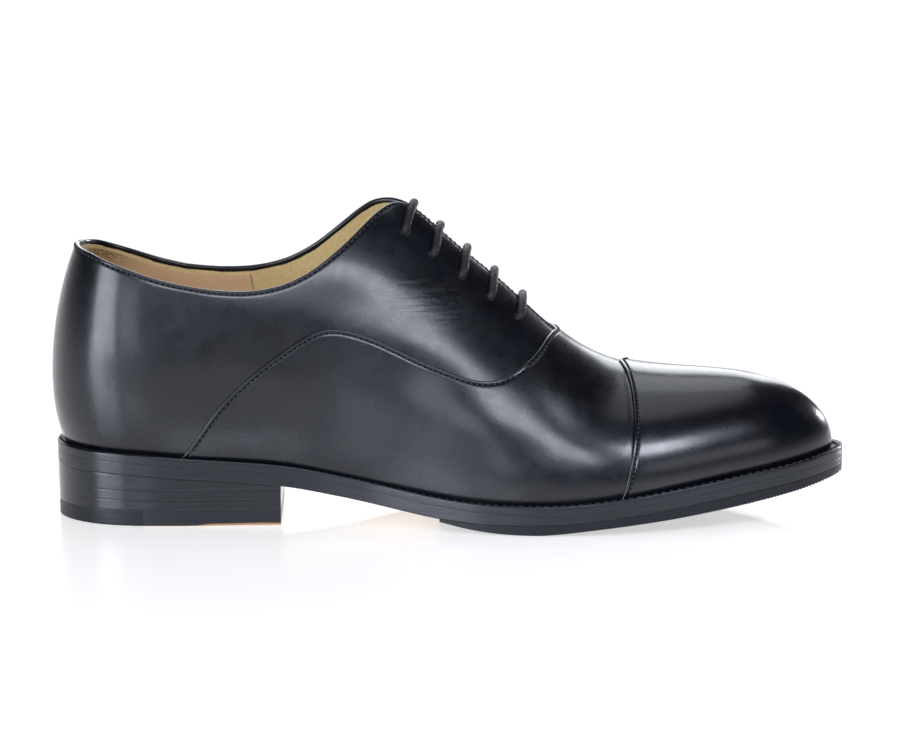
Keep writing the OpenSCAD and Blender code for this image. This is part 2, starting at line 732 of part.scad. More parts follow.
// What is glued to the outsole's underside starts a glue line below it.
below_outsole = function (s) leather_foot(s) - glue_line;
module outsole() {
    color(black_edge)
        placed()
            intersection() {
                column(sole_edge(outsole_less));
                slab(bottom_start, bottom_end, welt_foot, leather_foot);
            }
}
module half_sole() {
    color(black_rubber)
        placed()
            intersection() {
                column(sole_edge(half_sole_less));
                slab(ledge_start, bottom_end, below_outsole, tread);
            }
}

welt_inside = 3;
module welt() {
    color(black_edge)
        placed()
            difference() {
                intersection() {
                    column(sole_edge(0));
                    slab(bottom_start, bottom_end, welt_top, welt_foot);
                }
                column(plan(-welt_inside));
            }
}

stitch_length = 2.6;
stitch_d = 0.8;
stitch_count = 96;
stitch_from = 5;
// How far out on the welt the seam lies, as a share of the welt's width.
stitch_out = 0.55;
stitch_lift = 0.1;
// Outseam stitches lie along the welt's top, from waist to waist round the toe.
module welt_stitches() {
    color(black_edge)
        placed()
            for (i = [0:stitch_count - 1])
                let (
                    w = stitch_from + (around - 2 * stitch_from) * i / (stitch_count - 1),
                    out = curve(EDGE_OUT, up_rib(w)) * stitch_out,
                    p = foot_line(w, out),
                    d = foot_line(w + 0.02, out) - foot_line(w - 0.02, out)
                )
                translate([p[0], p[1], welt_top(p[0]) + stitch_d / 2 + stitch_lift])
                    rotate([0, 0, atan2(d[1], d[0])])
                        rotate([0, 90 - welt_tilt(p[0]) * cos(atan2(d[1], d[0])), 0])
                            translate([0, 0, -stitch_length / 2])
                                cylinder(d = stitch_d, h = stitch_length, $fn = 16);
}
function welt_tilt(s) = atan(welt_top(s + 0.5) - welt_top(s - 0.5));

rib_w = 2.2;
rib_gap = 0.2;
layer_gap = 0.1;
insole_drop = 1;
insole_inset = 4.6;
rib_inset = welt_inside + rib_gap;
filler_inset = rib_inset + rib_w + rib_gap;
insole_foot = function (s) welt_top(s) - insole_drop;
insole_top = function (s) insole_foot(s) + insole_t;
filler_top = function (s) insole_foot(s) - layer_gap;
filler_foot = function (s) welt_foot(s) + layer_gap;
module insole() {
    color(tan_leather)
        placed()
            intersection() {
                column(plan(-insole_inset));
                slab(0, bottom_end, insole_top, insole_foot);
            }
}
module insole_rib() {
    color(canvas_colour)
        placed()
            difference() {
                intersection() {
                    column(plan(-rib_inset));
                    slab(0, bottom_end, filler_top, filler_foot);
                }
                column(plan(-rib_inset - rib_w));
            }
}
shank_from = 48;
shank_to = 150;
shank_w = 15;
shank_t = 1.4;
// A bar through the whole height of the bottom, where the shank lies, grown by a gap.
module shank_room(gap) {
    translate([shank_from - gap, -shank_w / 2 - gap, bottom_low])
        cube([shank_to - shank_from + 2 * gap, shank_w + 2 * gap, bottom_height]);
}
module shank() {
    color(steel_colour)
        placed()
            intersection() {
                shank_room(0);
                slab(shank_from, shank_to, function (s) filler_foot(s) + shank_t, filler_foot);
            }
}
module cork_filler() {
    color(cork_colour)
        placed()
            difference() {
                intersection() {
                    column(plan(-filler_inset));
                    slab(0, bottom_end, filler_top, filler_foot);
                }
                shank_room(rib_gap);
            }
}

// ---- Heel -------------------------------------------------------------------------

heel_taper = 0.35;
// A layer of the heel between two heights, from one side plane to another.
module heel_layer(low, high, less, from, to) {
    intersection() {
        translate([0, 0, low])
            linear_extrude(high - low)
                polygon(sole_edge(less));
        translate([from, -bottom_width / 2, low])
            cube([to - from, bottom_width, high - low]);
    }
}
flat_height = function (z) function (s) z;
function layer_low(i) = top_piece_t + i * lift_t;
// Nails that hold the lifts together: [s, y].
NAILS = [[9, 0], [17, -19], [17, 19], [36, -25], [36, 25], [58, -23], [58, 21]];
nail_r = 0.8;
nail_low = 1.2;
nail_high = 15;
nail_slack = 0.05;
module nail_holes() {
    for (p = NAILS)
        translate([p[0], p[1], -1])
            cylinder(r = nail_r + nail_slack, h = nail_high + 1 + 2 * nail_slack, $fn = 24);
}
module heel_nails() {
    color(steel_colour)
        placed()
            for (p = NAILS)
                translate([p[0], p[1], nail_low])
                    cylinder(r = nail_r, h = nail_high - nail_low, $fn = 24);
}
module heel_base() {
    color(black_edge)
        placed()
            difference() {
                intersection() {
                    column(sole_edge(heel_taper));
                    slab(bottom_start, heel_length, below_outsole, flat_height(layer_low(2)));
                }
                nail_holes();
            }
}
// Each lift is a little smaller all round than the one above it.
module heel_lift(i) {
    color(black_edge)
        placed()
            difference() {
                heel_layer(
                    layer_low(i), layer_low(i + 1), heel_taper * (3 - i), bottom_start, heel_length
                );
                nail_holes();
            }
}
// The rubber tip of the top piece runs from the back to here, and leather from here on.
rubber_to = 34;
module top_piece(from, to) {
    difference() {
        heel_layer(0, top_piece_t, heel_taper * 4, from, to);
        nail_holes();
    }
}
module top_piece_leather() {
    color(tan_leather)
        placed()
            top_piece(rubber_to, heel_length);
}
module top_piece_rubber() {
    color(black_rubber)
        placed()
            top_piece(bottom_start, rubber_to);
}

// Moves the shoe so that its origin is the centre of the heel's resting face.
module placed() {
    scale(fit)
        translate([-heel_centre, 0, 0])
            children();
}

outsole();
half_sole();
welt();
welt_stitches();
cork_filler();
shank();
insole_rib();
insole();
heel_base();
heel_lift(1);  // heel_lift_upper
heel_lift(0);  // heel_lift_lower
top_piece_leather();
top_piece_rubber();
heel_nails();
toe_cap();
vamp();
quarter("lateral");  // quarter_lateral
quarter("medial");  // quarter_medial
facing_stay("lateral");  // facing_stay_lateral
facing_stay("medial");  // facing_stay_medial
eyelets("lateral");  // eyelets_lateral
eyelets("medial");  // eyelets_medial
toe_puff();
heel_counter();
vamp_lining();
quarter_lining("lateral");  // quarter_lining_lateral
quarter_lining("medial");  // quarter_lining_medial
heel_lining();
tongue();
tongue_lining();
lace_laced();
lace_end(LACE_END_LATERAL);  // lace_end_lateral
lace_end(LACE_END_MEDIAL);  // lace_end_medial
aglet(LACE_END_LATERAL);  // aglet_lateral
aglet(LACE_END_MEDIAL);  // aglet_medial
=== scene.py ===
"""Looks of a leather oxford shoe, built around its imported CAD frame.

Shapes are worked out in millimetres as [s, y, z], like in part.scad: s is measured forward
from the back of the heel, y is negative on the outer side and z is up from the ground.
place() then moves them into the shared frame. The surface of the upper is addressed by
[w, v]: w runs round the loop of ribs, from the heel back along the outer side to the toe
and back along the inner side, and v runs up a rib.
"""

import math

import bmesh
import bpy
import numpy as np
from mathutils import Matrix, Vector
from mathutils.kdtree import KDTree


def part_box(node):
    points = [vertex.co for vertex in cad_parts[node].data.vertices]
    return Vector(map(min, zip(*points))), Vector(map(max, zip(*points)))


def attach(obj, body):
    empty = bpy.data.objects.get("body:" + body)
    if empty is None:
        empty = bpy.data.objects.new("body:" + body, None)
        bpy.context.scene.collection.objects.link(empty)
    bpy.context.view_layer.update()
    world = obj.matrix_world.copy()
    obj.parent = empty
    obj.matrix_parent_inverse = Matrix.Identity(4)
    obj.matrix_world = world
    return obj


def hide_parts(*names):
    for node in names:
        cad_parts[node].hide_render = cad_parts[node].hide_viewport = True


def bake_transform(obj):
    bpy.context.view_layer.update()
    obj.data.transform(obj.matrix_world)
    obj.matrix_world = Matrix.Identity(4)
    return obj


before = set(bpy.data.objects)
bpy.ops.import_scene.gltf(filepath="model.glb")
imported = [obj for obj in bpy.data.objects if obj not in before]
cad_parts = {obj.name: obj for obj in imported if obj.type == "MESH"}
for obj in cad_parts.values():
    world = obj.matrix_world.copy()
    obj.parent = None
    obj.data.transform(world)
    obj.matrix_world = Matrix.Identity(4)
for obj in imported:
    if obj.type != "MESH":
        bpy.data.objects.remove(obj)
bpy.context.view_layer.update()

# ---- Tables of the shoe's form, as in part.scad -----------------------------------------

WELT_TOP = np.array([
    [-6, 28.8], [0, 28.5], [25, 27.6], [50, 26], [86, 22.9], [108, 19.2], [131, 15],
    [145, 12.8], [160, 11.4], [175, 10.9], [190, 11.1], [204, 12.1], [220, 14], [245, 17.6],
    [262, 20.2], [278, 22.6], [293, 25], [306, 27],
])
TREAD = np.array([
    [146, 3.5], [157, 1.5], [167, 0.4], [176, 0], [184, 0], [192, 0.6], [204, 1.9],
    [219, 3.5], [245, 6.4], [262, 8.9], [278, 11.7], [293, 14.6], [306, 17.2],
])
CREST = np.array([
    [110, 127], [126, 123.2], [137, 116], [148, 106.8], [160, 97.4], [171, 87.3],
    [184, 75.2], [195, 66.3], [206, 60.2], [219, 56.9], [240, 55.4], [255, 54.6],
    [267, 52.6], [275, 50.2],
])
# Foot [s, lateral y, medial y], top [s, y, z] (z -1: on the ridge), lean out and up at the
# foot, lean out and down at the top.
RIBS = np.array([
    [2.5, 0, 0, 9.5, 0, 108, 8, 19, 11, 24],
    [7.5, 17, 17, 13, 13, 108, 7.5, 19, 10, 24],
    [22, 28, 28, 24, 21.5, 108, 6.5, 19, 8, 25],
    [44, 30.5, 29.5, 44, 23.5, 107, 6, 20, 6.5, 25],
    [68, 29, 26.5, 64, 22.5, 108, 6.5, 23, 8, 24],
    [92, 28, 23.5, 84, 18, 112, 7.5, 26, 12, 20],
    [117, 30.5, 24, 105, 10, 120, 6, 30, 17, 14],
    [142, 37, 31, 126, 2.5, -1, 4, 31, 19, 8],
    [167, 44, 40, 148, 0, -1, 2.5, 30, 20, 0],
    [192, 46.5, 45.5, 171, 0, -1, 2, 26, 23, 0],
    [216, 44.5, 45, 195, 0, -1, 2, 22, 27, 0],
    [239, 38.5, 39.5, 219, 0, -1, 1.5, 18, 27, 0],
    [260, 31, 32, 240, 0, -1, 1.2, 16, 25, 0],
    [277, 23.5, 24, 255, 0, -1, 1, 14.5, 22, 0],
    [289.5, 13.5, 13.5, 263.5, 0, -1, 0.8, 13.5, 19, 0],
    [296, 0, 0, 267, 0, -1, 0.5, 13, 17, 0],
])
LAST = len(RIBS) - 1
AROUND = 2 * LAST
LATERAL, MEDIAL = -1, 1
SIDES = ((LATERAL, "lateral"), (MEDIAL, "medial"))
# Rear edge of the vamp and top edge of the quarters, as [rib, height up the rib].
SEAM = np.array([
    [3.2, 0], [3.45, 0.135], [3.75, 0.275], [4.2, 0.4], [4.7, 0.477], [5.15, 0.524],
    [5.45, 0.532], [6, 0.485], [6.9, 0.41], [7.5, 0.393], [7.85, 0.39], [8.15, 0.406],
    [8.65, 0.495], [9, 0.607], [9.4, 0.79], [9.8, 1],
])
TOPLINE = np.array([
    [0, 0.95], [0.5, 0.943], [1.3, 0.925], [1.8, 0.898], [2.25, 0.87], [2.8, 0.832],
    [3.3, 0.802], [3.8, 0.773], [4.3, 0.75], [4.8, 0.739], [5.15, 0.741], [5.5, 0.753],
    [5.9, 0.781], [6.2, 0.81], [6.5, 0.848], [6.85, 0.903], [7.15, 0.955], [7.4, 0.987],
    [10.5, 0.987],
])
INNER_RISE = np.array([[3.2, 0], [4.5, 0.028], [5.7, 0.05], [6.5, 0.045], [7.2, 0], [10, 0]])
# How far the seam is averaged to ease its bends, in ribs.
SEAM_EASE = 0.42
CAP_LOW, CAP_HIGH = 9.95, 10.8
SEAM_START, THROAT = 3.2, 9.8
# Nominal millimetres for one rib step: at the cap line (really about 24), at the back of the
# heel and along the tongue.
CAP_RIB_MM, BACK_RIB_MM, TONGUE_RIB_MM = 22, 20, 24
# How far the bottom's edge stands out from the foot of the upper.
EDGE_OUT = np.array([
    [0, 2.4], [1, 2.6], [3, 3], [5, 2.6], [6, 2.6], [7, 4], [8, 5.2], [10, 5.6],
    [13, 5.4], [14, 4.6], [15, 4],
])
EYELETS = [[7.1, 0.8], [7.55, 0.762], [8, 0.75], [8.45, 0.744], [8.9, 0.75]]
# The laced stretch as [rib, height up the rib, lift]; a negative rib is on the inner side.
LACE_ROUTE = np.array([
    [7.1, 0.8, -4.8], [7.1, 0.8, 0.9], [7.13, 0.82, 1.9], [7.28, 0.9, 1.9], [7.5, 1, 1.9],
    [-7.28, 0.9, 1.9], [-7.13, 0.82, 1.9], [-7.1, 0.8, 0.9], [-7.1, 0.8, -4],
    [-7.2, 0.79, -5.2], [-7.55, 0.785, -5.4], [-7.9, 0.76, -5.2], [-8, 0.75, -4],
    [-8, 0.75, 0.9], [-8.03, 0.77, 1.9], [-8.18, 0.88, 1.9], [8.4, 1, 1.9],
    [8.18, 0.88, 1.9], [8.03, 0.77, 1.9], [8, 0.75, 0.9], [8, 0.75, -4],
    [8.1, 0.72, -5.2], [8.45, 0.69, -5.4], [8.8, 0.72, -5.2], [8.9, 0.75, -4],
    [8.9, 0.75, 0.9], [8.93, 0.77, 1.9], [9.08, 0.88, 1.9], [9.3, 1, 1.9],
    [-9.08, 0.88, 1.9], [-8.93, 0.77, 1.9], [-8.9, 0.75, 0.9], [-8.9, 0.75, -4],
    [-8.8, 0.748, -5.2], [-8.55, 0.746, -5.2], [-8.45, 0.744, -4], [-8.45, 0.744, 0.9],
    [-8.48, 0.764, 1.9], [-8.63, 0.88, 1.9], [8.85, 1, 1.9], [8.63, 0.88, 1.9],
    [8.48, 0.764, 1.9], [8.45, 0.744, 0.9], [8.45, 0.744, -4], [8.35, 0.765, -5.2],
    [8, 0.79, -5.4], [7.65, 0.78, -5.2], [7.55, 0.762, -4], [7.55, 0.762, 0.9],
    [7.58, 0.782, 1.9], [7.73, 0.89, 1.9], [7.95, 1, 1.9], [-7.73, 0.89, 1.9],
    [-7.58, 0.782, 1.9], [-7.55, 0.762, 0.9], [-7.55, 0.762, -4.8],
])
# The two free ends, which hang down inside the quarters.
LACE_END_LATERAL = np.array([
    [131.5, -8.8, 107], [132.8, -11.2, 102], [134, -15, 95], [134, -19, 85],
    [133.5, -23.5, 72], [133.5, -26.5, 57], [134, -28.3, 42], [137, -28.7, 30],
    [144, -29, 21.5], [156, -30.8, 15.9], [172, -33.5, 14.5], [189, -35.5, 14.7],
    [206, -35, 16.1], [222, -32, 18.1], [238, -27.5, 20.5],
])
LACE_END_MEDIAL = np.array([
    [142.5, 9.5, 98.5], [143.8, 12, 94], [143.7, 15, 88], [142.5, 18.5, 78],
    [141, 21, 66.5], [140, 22.8, 54], [140.5, 24, 42], [143.5, 24.3, 31],
    [151, 25.5, 21.5], [162, 28.3, 15.6], [176, 31.5, 14.5], [190, 34.5, 14.8],
    [206, 35.5, 16.1], [222, 33.5, 18.1], [238, 29.5, 20.5],
])

LEATHER_T, LINING_T, STIFFENER_T, LAP = 1.2, 0.9, 0.9, 8
WELT_T, OUTSOLE_T, INSOLE_T, TOP_PIECE_T, LIFT_T = 3.2, 4.8, 3, 6, 3.8
LACE_D = 2.8
EYELET_HOLE_R = 2.1
GLUE, FREE_GAP = 0.25, 0.35
HEEL_LENGTH, RUBBER_TO, LEDGE_START = 86, 34, 146

# ---- The surface of the upper ------------------------------------------------------------


def slopes(xs, ys):
    """Slopes of a smooth curve at its points, from their neighbours."""
    before = np.maximum(np.arange(len(xs)) - 1, 0)
    after = np.minimum(np.arange(len(xs)) + 1, len(xs) - 1)
    run = (xs[after] - xs[before]).reshape((-1,) + (1,) * (ys.ndim - 1))
    return (ys[after] - ys[before]) / run


def hermite(xs, ys, x):
    """A smooth curve through the points ys at xs, at x."""
    x = np.asarray(x, float)
    m = slopes(xs, ys)
    i = np.clip(np.searchsorted(xs, x) - 1, 0, len(xs) - 2)
    width = xs[i + 1] - xs[i]
    f = (np.clip(x, xs[0], xs[-1]) - xs[i]) / width
    if ys.ndim > 1:
        f, width = f[..., None], width[..., None]
    g = 1 - f
    return (
        ys[i] * (1 + 2 * f) * g * g
        + ys[i + 1] * (1 + 2 * g) * f * f
        + width * f * g * (m[i] * g - m[i + 1] * f)
    )


def curve(table, x):
    return hermite(table[:, 0], table[:, 1], x)


def step(a, b, x):
    """0 below a, 1 above b, and smooth between them."""
    f = np.clip((np.asarray(x, float) - a) / (b - a), 0, 1)
    return f * f * (3 - 2 * f)


def unit(v):
    return v / np.linalg.norm(v, axis=-1, keepdims=True)


def rib_net(rib, side):
    """The four control points of a rib."""
    on_ridge = rib[5] < 0
    foot = np.array([rib[0], side * (rib[1] if side == LATERAL else rib[2]), curve(WELT_TOP, rib[0])])
    top = np.array([rib[3], side * rib[4], curve(CREST, rib[3]) if on_ridge else rib[5]])
    out = unit((foot - top) * [1, 1, 0])
    near = curve(CREST, rib[3] + 0.5) - curve(CREST, rib[3] - 0.5)
    fall = near * out[0] if on_ridge else 0
    up = np.array([0, 0, 1])
    return [
        foot,
        foot + rib[6] * out + up * rib[7],
        top + rib[8] * out + up * (fall * rib[8] - rib[9]),
        top,
    ]


NET = np.array(
    [rib_net(r, LATERAL) for r in RIBS]
    + [rib_net(RIBS[i], MEDIAL) for i in range(LAST - 1, 0, -1)]
)
REACH = 8
EASE = math.sqrt(3) - 2
BEND = sum(
    (np.roll(NET, 1 - d, 0) - 2 * np.roll(NET, -d, 0) + np.roll(NET, -1 - d, 0))
    * 3 * EASE ** abs(d) / math.sqrt(3)
    for d in range(-REACH, REACH + 1)
)


def rail(k, w):
    i = np.floor(w).astype(int)
    f = (w - i)[..., None]
    g = 1 - f
    a, b = i % AROUND, (i + 1) % AROUND
    bend = (g ** 3 - g) * BEND[a, k] + (f ** 3 - f) * BEND[b, k]
    return g * NET[a, k] + f * NET[b, k] + bend / 6


def skin(w, v):
    """Points of the upper's outer face."""
    w, v = np.broadcast_arrays(np.asarray(w, float), np.asarray(v, float))
    v = v[..., None]
    g = 1 - v
    return (
        g ** 3 * rail(0, w) + 3 * g * g * v * rail(1, w)
        + 3 * g * v * v * rail(2, w) + v ** 3 * rail(3, w)
    )


def outward(w, v):
    small = 0.01
    u = np.clip(v, small, 0.985)
    along = skin(w + small, u) - skin(w - small, u)
    up = skin(w, u + small) - skin(w, u - small)
    return unit(np.cross(along, up))


def up_rib(w):
    p = np.mod(w, AROUND)
    return np.minimum(p, AROUND - p)


class Panel:
    """A grid of places on the upper, with the points and directions there."""

    def __init__(self, w, v):
        self.w, self.v = np.broadcast_arrays(np.asarray(w, float), np.asarray(v, float))
        self.rib = up_rib(self.w)
        middle = ((self.v > 0.9999) & (self.rib > 7)) | (self.rib > LAST - 0.0001)
        self.face = skin(self.w, self.v)
        self.normal = outward(np.where(middle, self.rib, self.w), self.v)
        self.face[middle, 1] = 0
        self.normal[middle, 1] = 0
        self.normal = unit(self.normal)
        self.middle = middle

    def at(self, depth):
        """Points that far below the face."""
        depth = np.broadcast_to(depth, self.w.shape)
        return self.face - depth[..., None] * self.normal


def one_side(side, w, v):
    """The panel of one side over a grid given on the lateral side."""
    return Panel(w, v) if side == LATERAL else Panel((AROUND - w)[::-1], v[::-1])


def both_sides(at, a, b):
    """Lateral and medial panels over the same grid; at gives [w, v] on the lateral side."""
    return [one_side(side, *at(a, b)) for side in (LATERAL, MEDIAL)]


def seam(r):
    """Height of the seam up a rib, with its bends eased by averaging along it."""
    ease = SEAM_EASE * step(3.3, 4.2, r) * (1 - step(8.7, 9.4, r))
    offsets = np.linspace(-1, 1, 9)
    weights = 1 - np.abs(offsets) * 0.8
    eased = sum(k * curve(SEAM, r + ease * d) for k, d in zip(weights, offsets)) / weights.sum()
    return np.where(r <= SEAM_START, 0, np.where(r >= THROAT, 1, eased))


def topline(w):
    inner = np.mod(w, AROUND) > LAST
    return curve(TOPLINE, up_rib(w)) + np.where(inner, curve(INNER_RISE, up_rib(w)), 0)


def cap_line(v):
    return CAP_LOW + (CAP_HIGH - CAP_LOW) * v


def from_cap(r, v):
    """Distance in front of the cap line, roughly in millimetres."""
    return (r - cap_line(v)) * CAP_RIB_MM


# ---- Placing and mesh making -------------------------------------------------------------


def foot_line(w, out):
    """Plan of the foot of the upper, moved out by a distance."""
    w = np.asarray(w, float)
    d = skin(w + 0.02, 0) - skin(w - 0.02, 0)
    n = unit(np.stack([d[..., 1], -d[..., 0]], -1))
    return skin(w, 0)[..., :2] + np.asarray(out)[..., None] * n


def sole_out(less):
    return lambda w: curve(EDGE_OUT, up_rib(w)) - less


def fit_to_frame():
    """Scale and heel centre that put this file's outline onto the CAD welt."""
    s = foot_line(np.linspace(0, AROUND, 3001), sole_out(0)(np.linspace(0, AROUND, 3001)))[:, 0]
    low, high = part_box("welt")
    fit = (high.x - low.x) * 1000 / (s.max() - s.min())
    return fit, s.min() - low.x * 1000 / fit


FIT, HEEL_CENTRE = fit_to_frame()


def place(points):
    """Millimetres of this file to metres of the shared frame."""
    return (np.asarray(points, float) - [HEEL_CENTRE, 0, 0]) * FIT / 1000


def make(name, points, faces, materials, which=None, weld=True, sharp=40):
    """A mesh object from points in millimetres. which gives each face's material."""
    mesh = bpy.data.meshes.new(name)
    mesh.from_pydata(place(points).tolist(), [], [list(map(int, f)) for f in faces])
    for material in materials:
        mesh.materials.append(material)
    if which is not None:
        mesh.polygons.foreach_set("material_index", np.asarray(which, np.int32))
    mesh.polygons.foreach_set("use_smooth", [True] * len(mesh.polygons))
    if weld:
        work = bmesh.new()
        work.from_mesh(mesh)
        bmesh.ops.remove_doubles(work, verts=work.verts, dist=2e-6)
        bmesh.ops.dissolve_degenerate(work, edges=work.edges, dist=1e-7)
        work.to_mesh(mesh)
        work.free()
    mesh.set_sharp_from_angle(angle=math.radians(sharp))
    mesh.update()
    piece = bpy.data.objects.new(name, mesh)
    bpy.context.scene.collection.objects.link(piece)
    return piece


def shell(panels, outer, inner):
    """Points and faces of a closed shell; outer and inner give each panel's two depths."""
    points, faces, base = [], [], 0
    for panel in panels:
        na, nb = panel.w.shape
        half = na * nb
        points += [panel.at(outer(panel)).reshape(-1, 3), panel.at(inner(panel)).reshape(-1, 3)]
        p = base + np.arange(na)[:, None] * nb + np.arange(nb)
        a, b, c, d = p[:-1, :-1], p[1:, :-1], p[1:, 1:], p[:-1, 1:]
        quads = np.stack([a, b, c, d], -1).reshape(-1, 4)
        rim = np.concatenate([p[:-1, 0], p[-1, :-1], p[:0:-1, -1], p[0, :0:-1]])
        middle = panel.middle.ravel()
        after = np.roll(rim, -1)
        wall = np.stack([rim, rim + half, after + half, after], -1)
        free = ~(middle[rim - base] & middle[after - base])
        faces += [quads, quads[:, ::-1] + half, wall[free]]
        base += 2 * half
    return np.concatenate(points), np.concatenate(faces)


def distance(points, line):
    """How far each point is from a line of closely spaced points."""
    tree = KDTree(len(line))
    for i, p in enumerate(line):
        tree.insert(p, i)
    tree.balance()
    flat = points.reshape(-1, 3)
    return np.array([tree.find(p)[2] for p in flat]).reshape(points.shape[:-1])


def round_off(gap, radius):
    """How far a rounded edge falls away, at a distance from it."""
    f = np.clip(1 - gap / radius, 0, 1)
    return radius * (1 - np.sqrt(1 - f * f))


def column_lengths(at, a):
    """Length of each column of a grid, in millimetres."""
    b = np.linspace(0, 1, 25)
    w, v = at(a[:, None], b[None, :])
    return np.linalg.norm(np.diff(skin(w, v), axis=1), axis=-1).sum(1)


def rows(at, a, count, near):
    """Heights 0 to 1 up each column, the last ones at set distances below its top."""
    near = np.asarray(near, float)
    length = np.maximum(column_lengths(at, a), 0.01)
    share = np.linspace(0.9, 0, len(near))
    last = np.minimum(near[None, :] / length[:, None], share[None, :])
    first = np.linspace(0, 1, count, endpoint=False)[None, :] * (1 - last[:, :1])
    return np.concatenate([first, 1 - last], 1)


# Distances below a top edge at which a grid's last rows lie, in millimetres.
NEAR_EDGE = [3.4, 2.8, 2.3, 1.9, 1.6, 1.3, 1.05, 0.8, 0.6, 0.42, 0.28, 0.16, 0.07, 0]


def close_to(start, offsets, then):
    """Positions that start close together and go on as then."""
    return np.unique(np.concatenate([start + np.asarray(offsets), then]))


# ---- Lines on the upper ------------------------------------------------------------------


def run_along(points):
    """Distance from the first point of a line to each of its points."""
    return np.concatenate([[0], np.cumsum(np.linalg.norm(np.diff(points, axis=0), axis=1))])


def dense(values, pitch=0.05):
    """A line of points resampled at an even pitch."""
    length = run_along(values)
    at = np.linspace(0, length[-1], max(int(length[-1] / pitch), 2) + 1)
    return np.stack([np.interp(at, length, values[:, k]) for k in range(3)], -1)


SEAM_RIBS = np.linspace(SEAM_START, THROAT, 1500)


def side_w(side, r):
    return r if side == LATERAL else AROUND - r


SEAM_LINES = {
    side: dense(skin(side_w(side, SEAM_RIBS), seam(SEAM_RIBS))) for side in (LATERAL, MEDIAL)
}
CAP_HEIGHTS = np.linspace(-0.01, 1, 800)
CAP_LINES = {
    side: dense(skin(side_w(side, cap_line(CAP_HEIGHTS)), CAP_HEIGHTS))
    for side in (LATERAL, MEDIAL)
}
TOP_RIBS = np.linspace(0, 10.2, 1800)
TOP_LINES = {
    side: dense(skin(side_w(side, TOP_RIBS), topline(side_w(side, TOP_RIBS))))
    for side in (LATERAL, MEDIAL)
}


def stitch_dent(gap, at, deep=0.16, wide=0.5):
    """Leather pressed in along a row of stitches."""
    return deep * np.exp(-((gap - at) / wide) ** 2)


STITCH_IN = 1.6
TOP_STITCH_IN = 1.45

# ---- Depths of the shells ----------------------------------------------------------------


def panel_side(panel):
    return LATERAL if panel.w.mean() < LAST else MEDIAL


def from_line(panel, lines):
    """Distance from the seam, cap line or topline, worked out once for each panel."""
    known = panel.__dict__.setdefault("gaps", {})
    if id(lines) not in known:
        known[id(lines)] = distance(panel.face, lines[panel_side(panel)])
    return known[id(lines)]


SWAY = 0.16


def sway(p):
    """Slow unevenness of leather that was pulled over a last, in millimetres."""
    s, y, z = p[..., 0], p[..., 1], p[..., 2]
    waves = (
        np.sin(s / 8.3 + z / 9.1 + 0.6) * np.sin(z / 6.7 - s / 17 + y / 19)
        + 0.8 * np.sin(s / 11.9 - z / 8.2 + 2.1) + 0.25 * np.sin(s / 5.2 + z / 7.4)
    )
    return SWAY * waves * step(20, 60, s) * (1 - step(185, 235, s)) * step(16, 40, z)


# Outside, the lapped edges stand proud of what they lap over and settle down slowly.
PROUD_VAMP, PROUD_CAP = 0.85, 0.95
SETTLE_VAMP, SETTLE_CAP = (2, 34), (2, 44)
# Under a lap the inner face lies this far above the skin, and sinks into it beyond the lap.
UNDER_VAMP, UNDER_CAP = 0.1, 0.35
LAP_FADE = (LAP + 0.6, LAP + 6)


def vamp_outer(panel):
    gap = from_line(panel, SEAM_LINES)
    lift = 1 - step(*SETTLE_VAMP, gap)
    cap = from_line(panel, CAP_LINES)
    under_cap = step(-0.6, 0.6, from_cap(panel.rib, panel.v))
    crease = 0.1 * np.exp(-((cap - 0.2) / 1.4) ** 2) * (1 - under_cap)
    return (
        sway(panel.face) - PROUD_VAMP * lift + round_off(gap, 0.5)
        + stitch_dent(gap, STITCH_IN) + crease
    )


def vamp_inner(panel):
    lift = 1 - step(*LAP_FADE, from_line(panel, SEAM_LINES))
    return -UNDER_VAMP * lift + LEATHER_T * (1 - lift)


def cap_outer(panel):
    gap = from_line(panel, CAP_LINES)
    lift = 1 - step(*SETTLE_CAP, gap)
    return (
        sway(panel.face) - PROUD_CAP * lift + round_off(gap, 0.5)
        + stitch_dent(gap, STITCH_IN)
    )


def cap_inner(panel):
    lift = 1 - step(*LAP_FADE, from_line(panel, CAP_LINES))
    return -UNDER_CAP * lift + LEATHER_T * (1 - lift)


# Thickness and rounding of the folded top edge.
FOLD_T, FOLD_R = 1.9, 0.85


def quarter_outer(panel):
    gap = from_line(panel, TOP_LINES)
    back = panel.rib * BACK_RIB_MM
    return (
        sway(panel.face) + round_off(gap, FOLD_R) + stitch_dent(gap, TOP_STITCH_IN)
        + round_off(back, 0.35) * (back < 0.35)
    )


def quarter_inner(panel):
    gap = from_line(panel, TOP_LINES)
    fold = (FOLD_T - LEATHER_T) * (1 - step(2.6, 4.2, gap))
    return LEATHER_T + fold - round_off(gap, FOLD_R) + sway(panel.face)


LINING_DEPTH = LEATHER_T + 0.4
STAY_T = 0.5


def lining_outer(panel):
    r, v = panel.rib, panel.v
    counter = (1 - step(4.25, 4.75, r)) * (1 - step(0.62, 0.7, v))
    stay = step(6.9, 7.2, r) * step(0.63, 0.68, v) * (1 - step(9.7, 9.9, r))
    puff = step(-6, 6, from_cap(r, v))
    return (
        LINING_DEPTH + (STIFFENER_T + GLUE) * counter + (STAY_T + GLUE) * stay
        + (STIFFENER_T + FREE_GAP) * puff
    )


def lining_inner(panel):
    return lining_outer(panel) + LINING_T


# ---- Tubes, stitches and lofts -----------------------------------------------------------


def smooth_path(points, pitch):
    """Points at an even pitch along a smooth curve through these points."""
    points = np.asarray(points, float)
    along = run_along(points)
    fine = hermite(along, points, np.linspace(0, along[-1], int(along[-1] / 0.05)))
    return dense(fine, pitch)


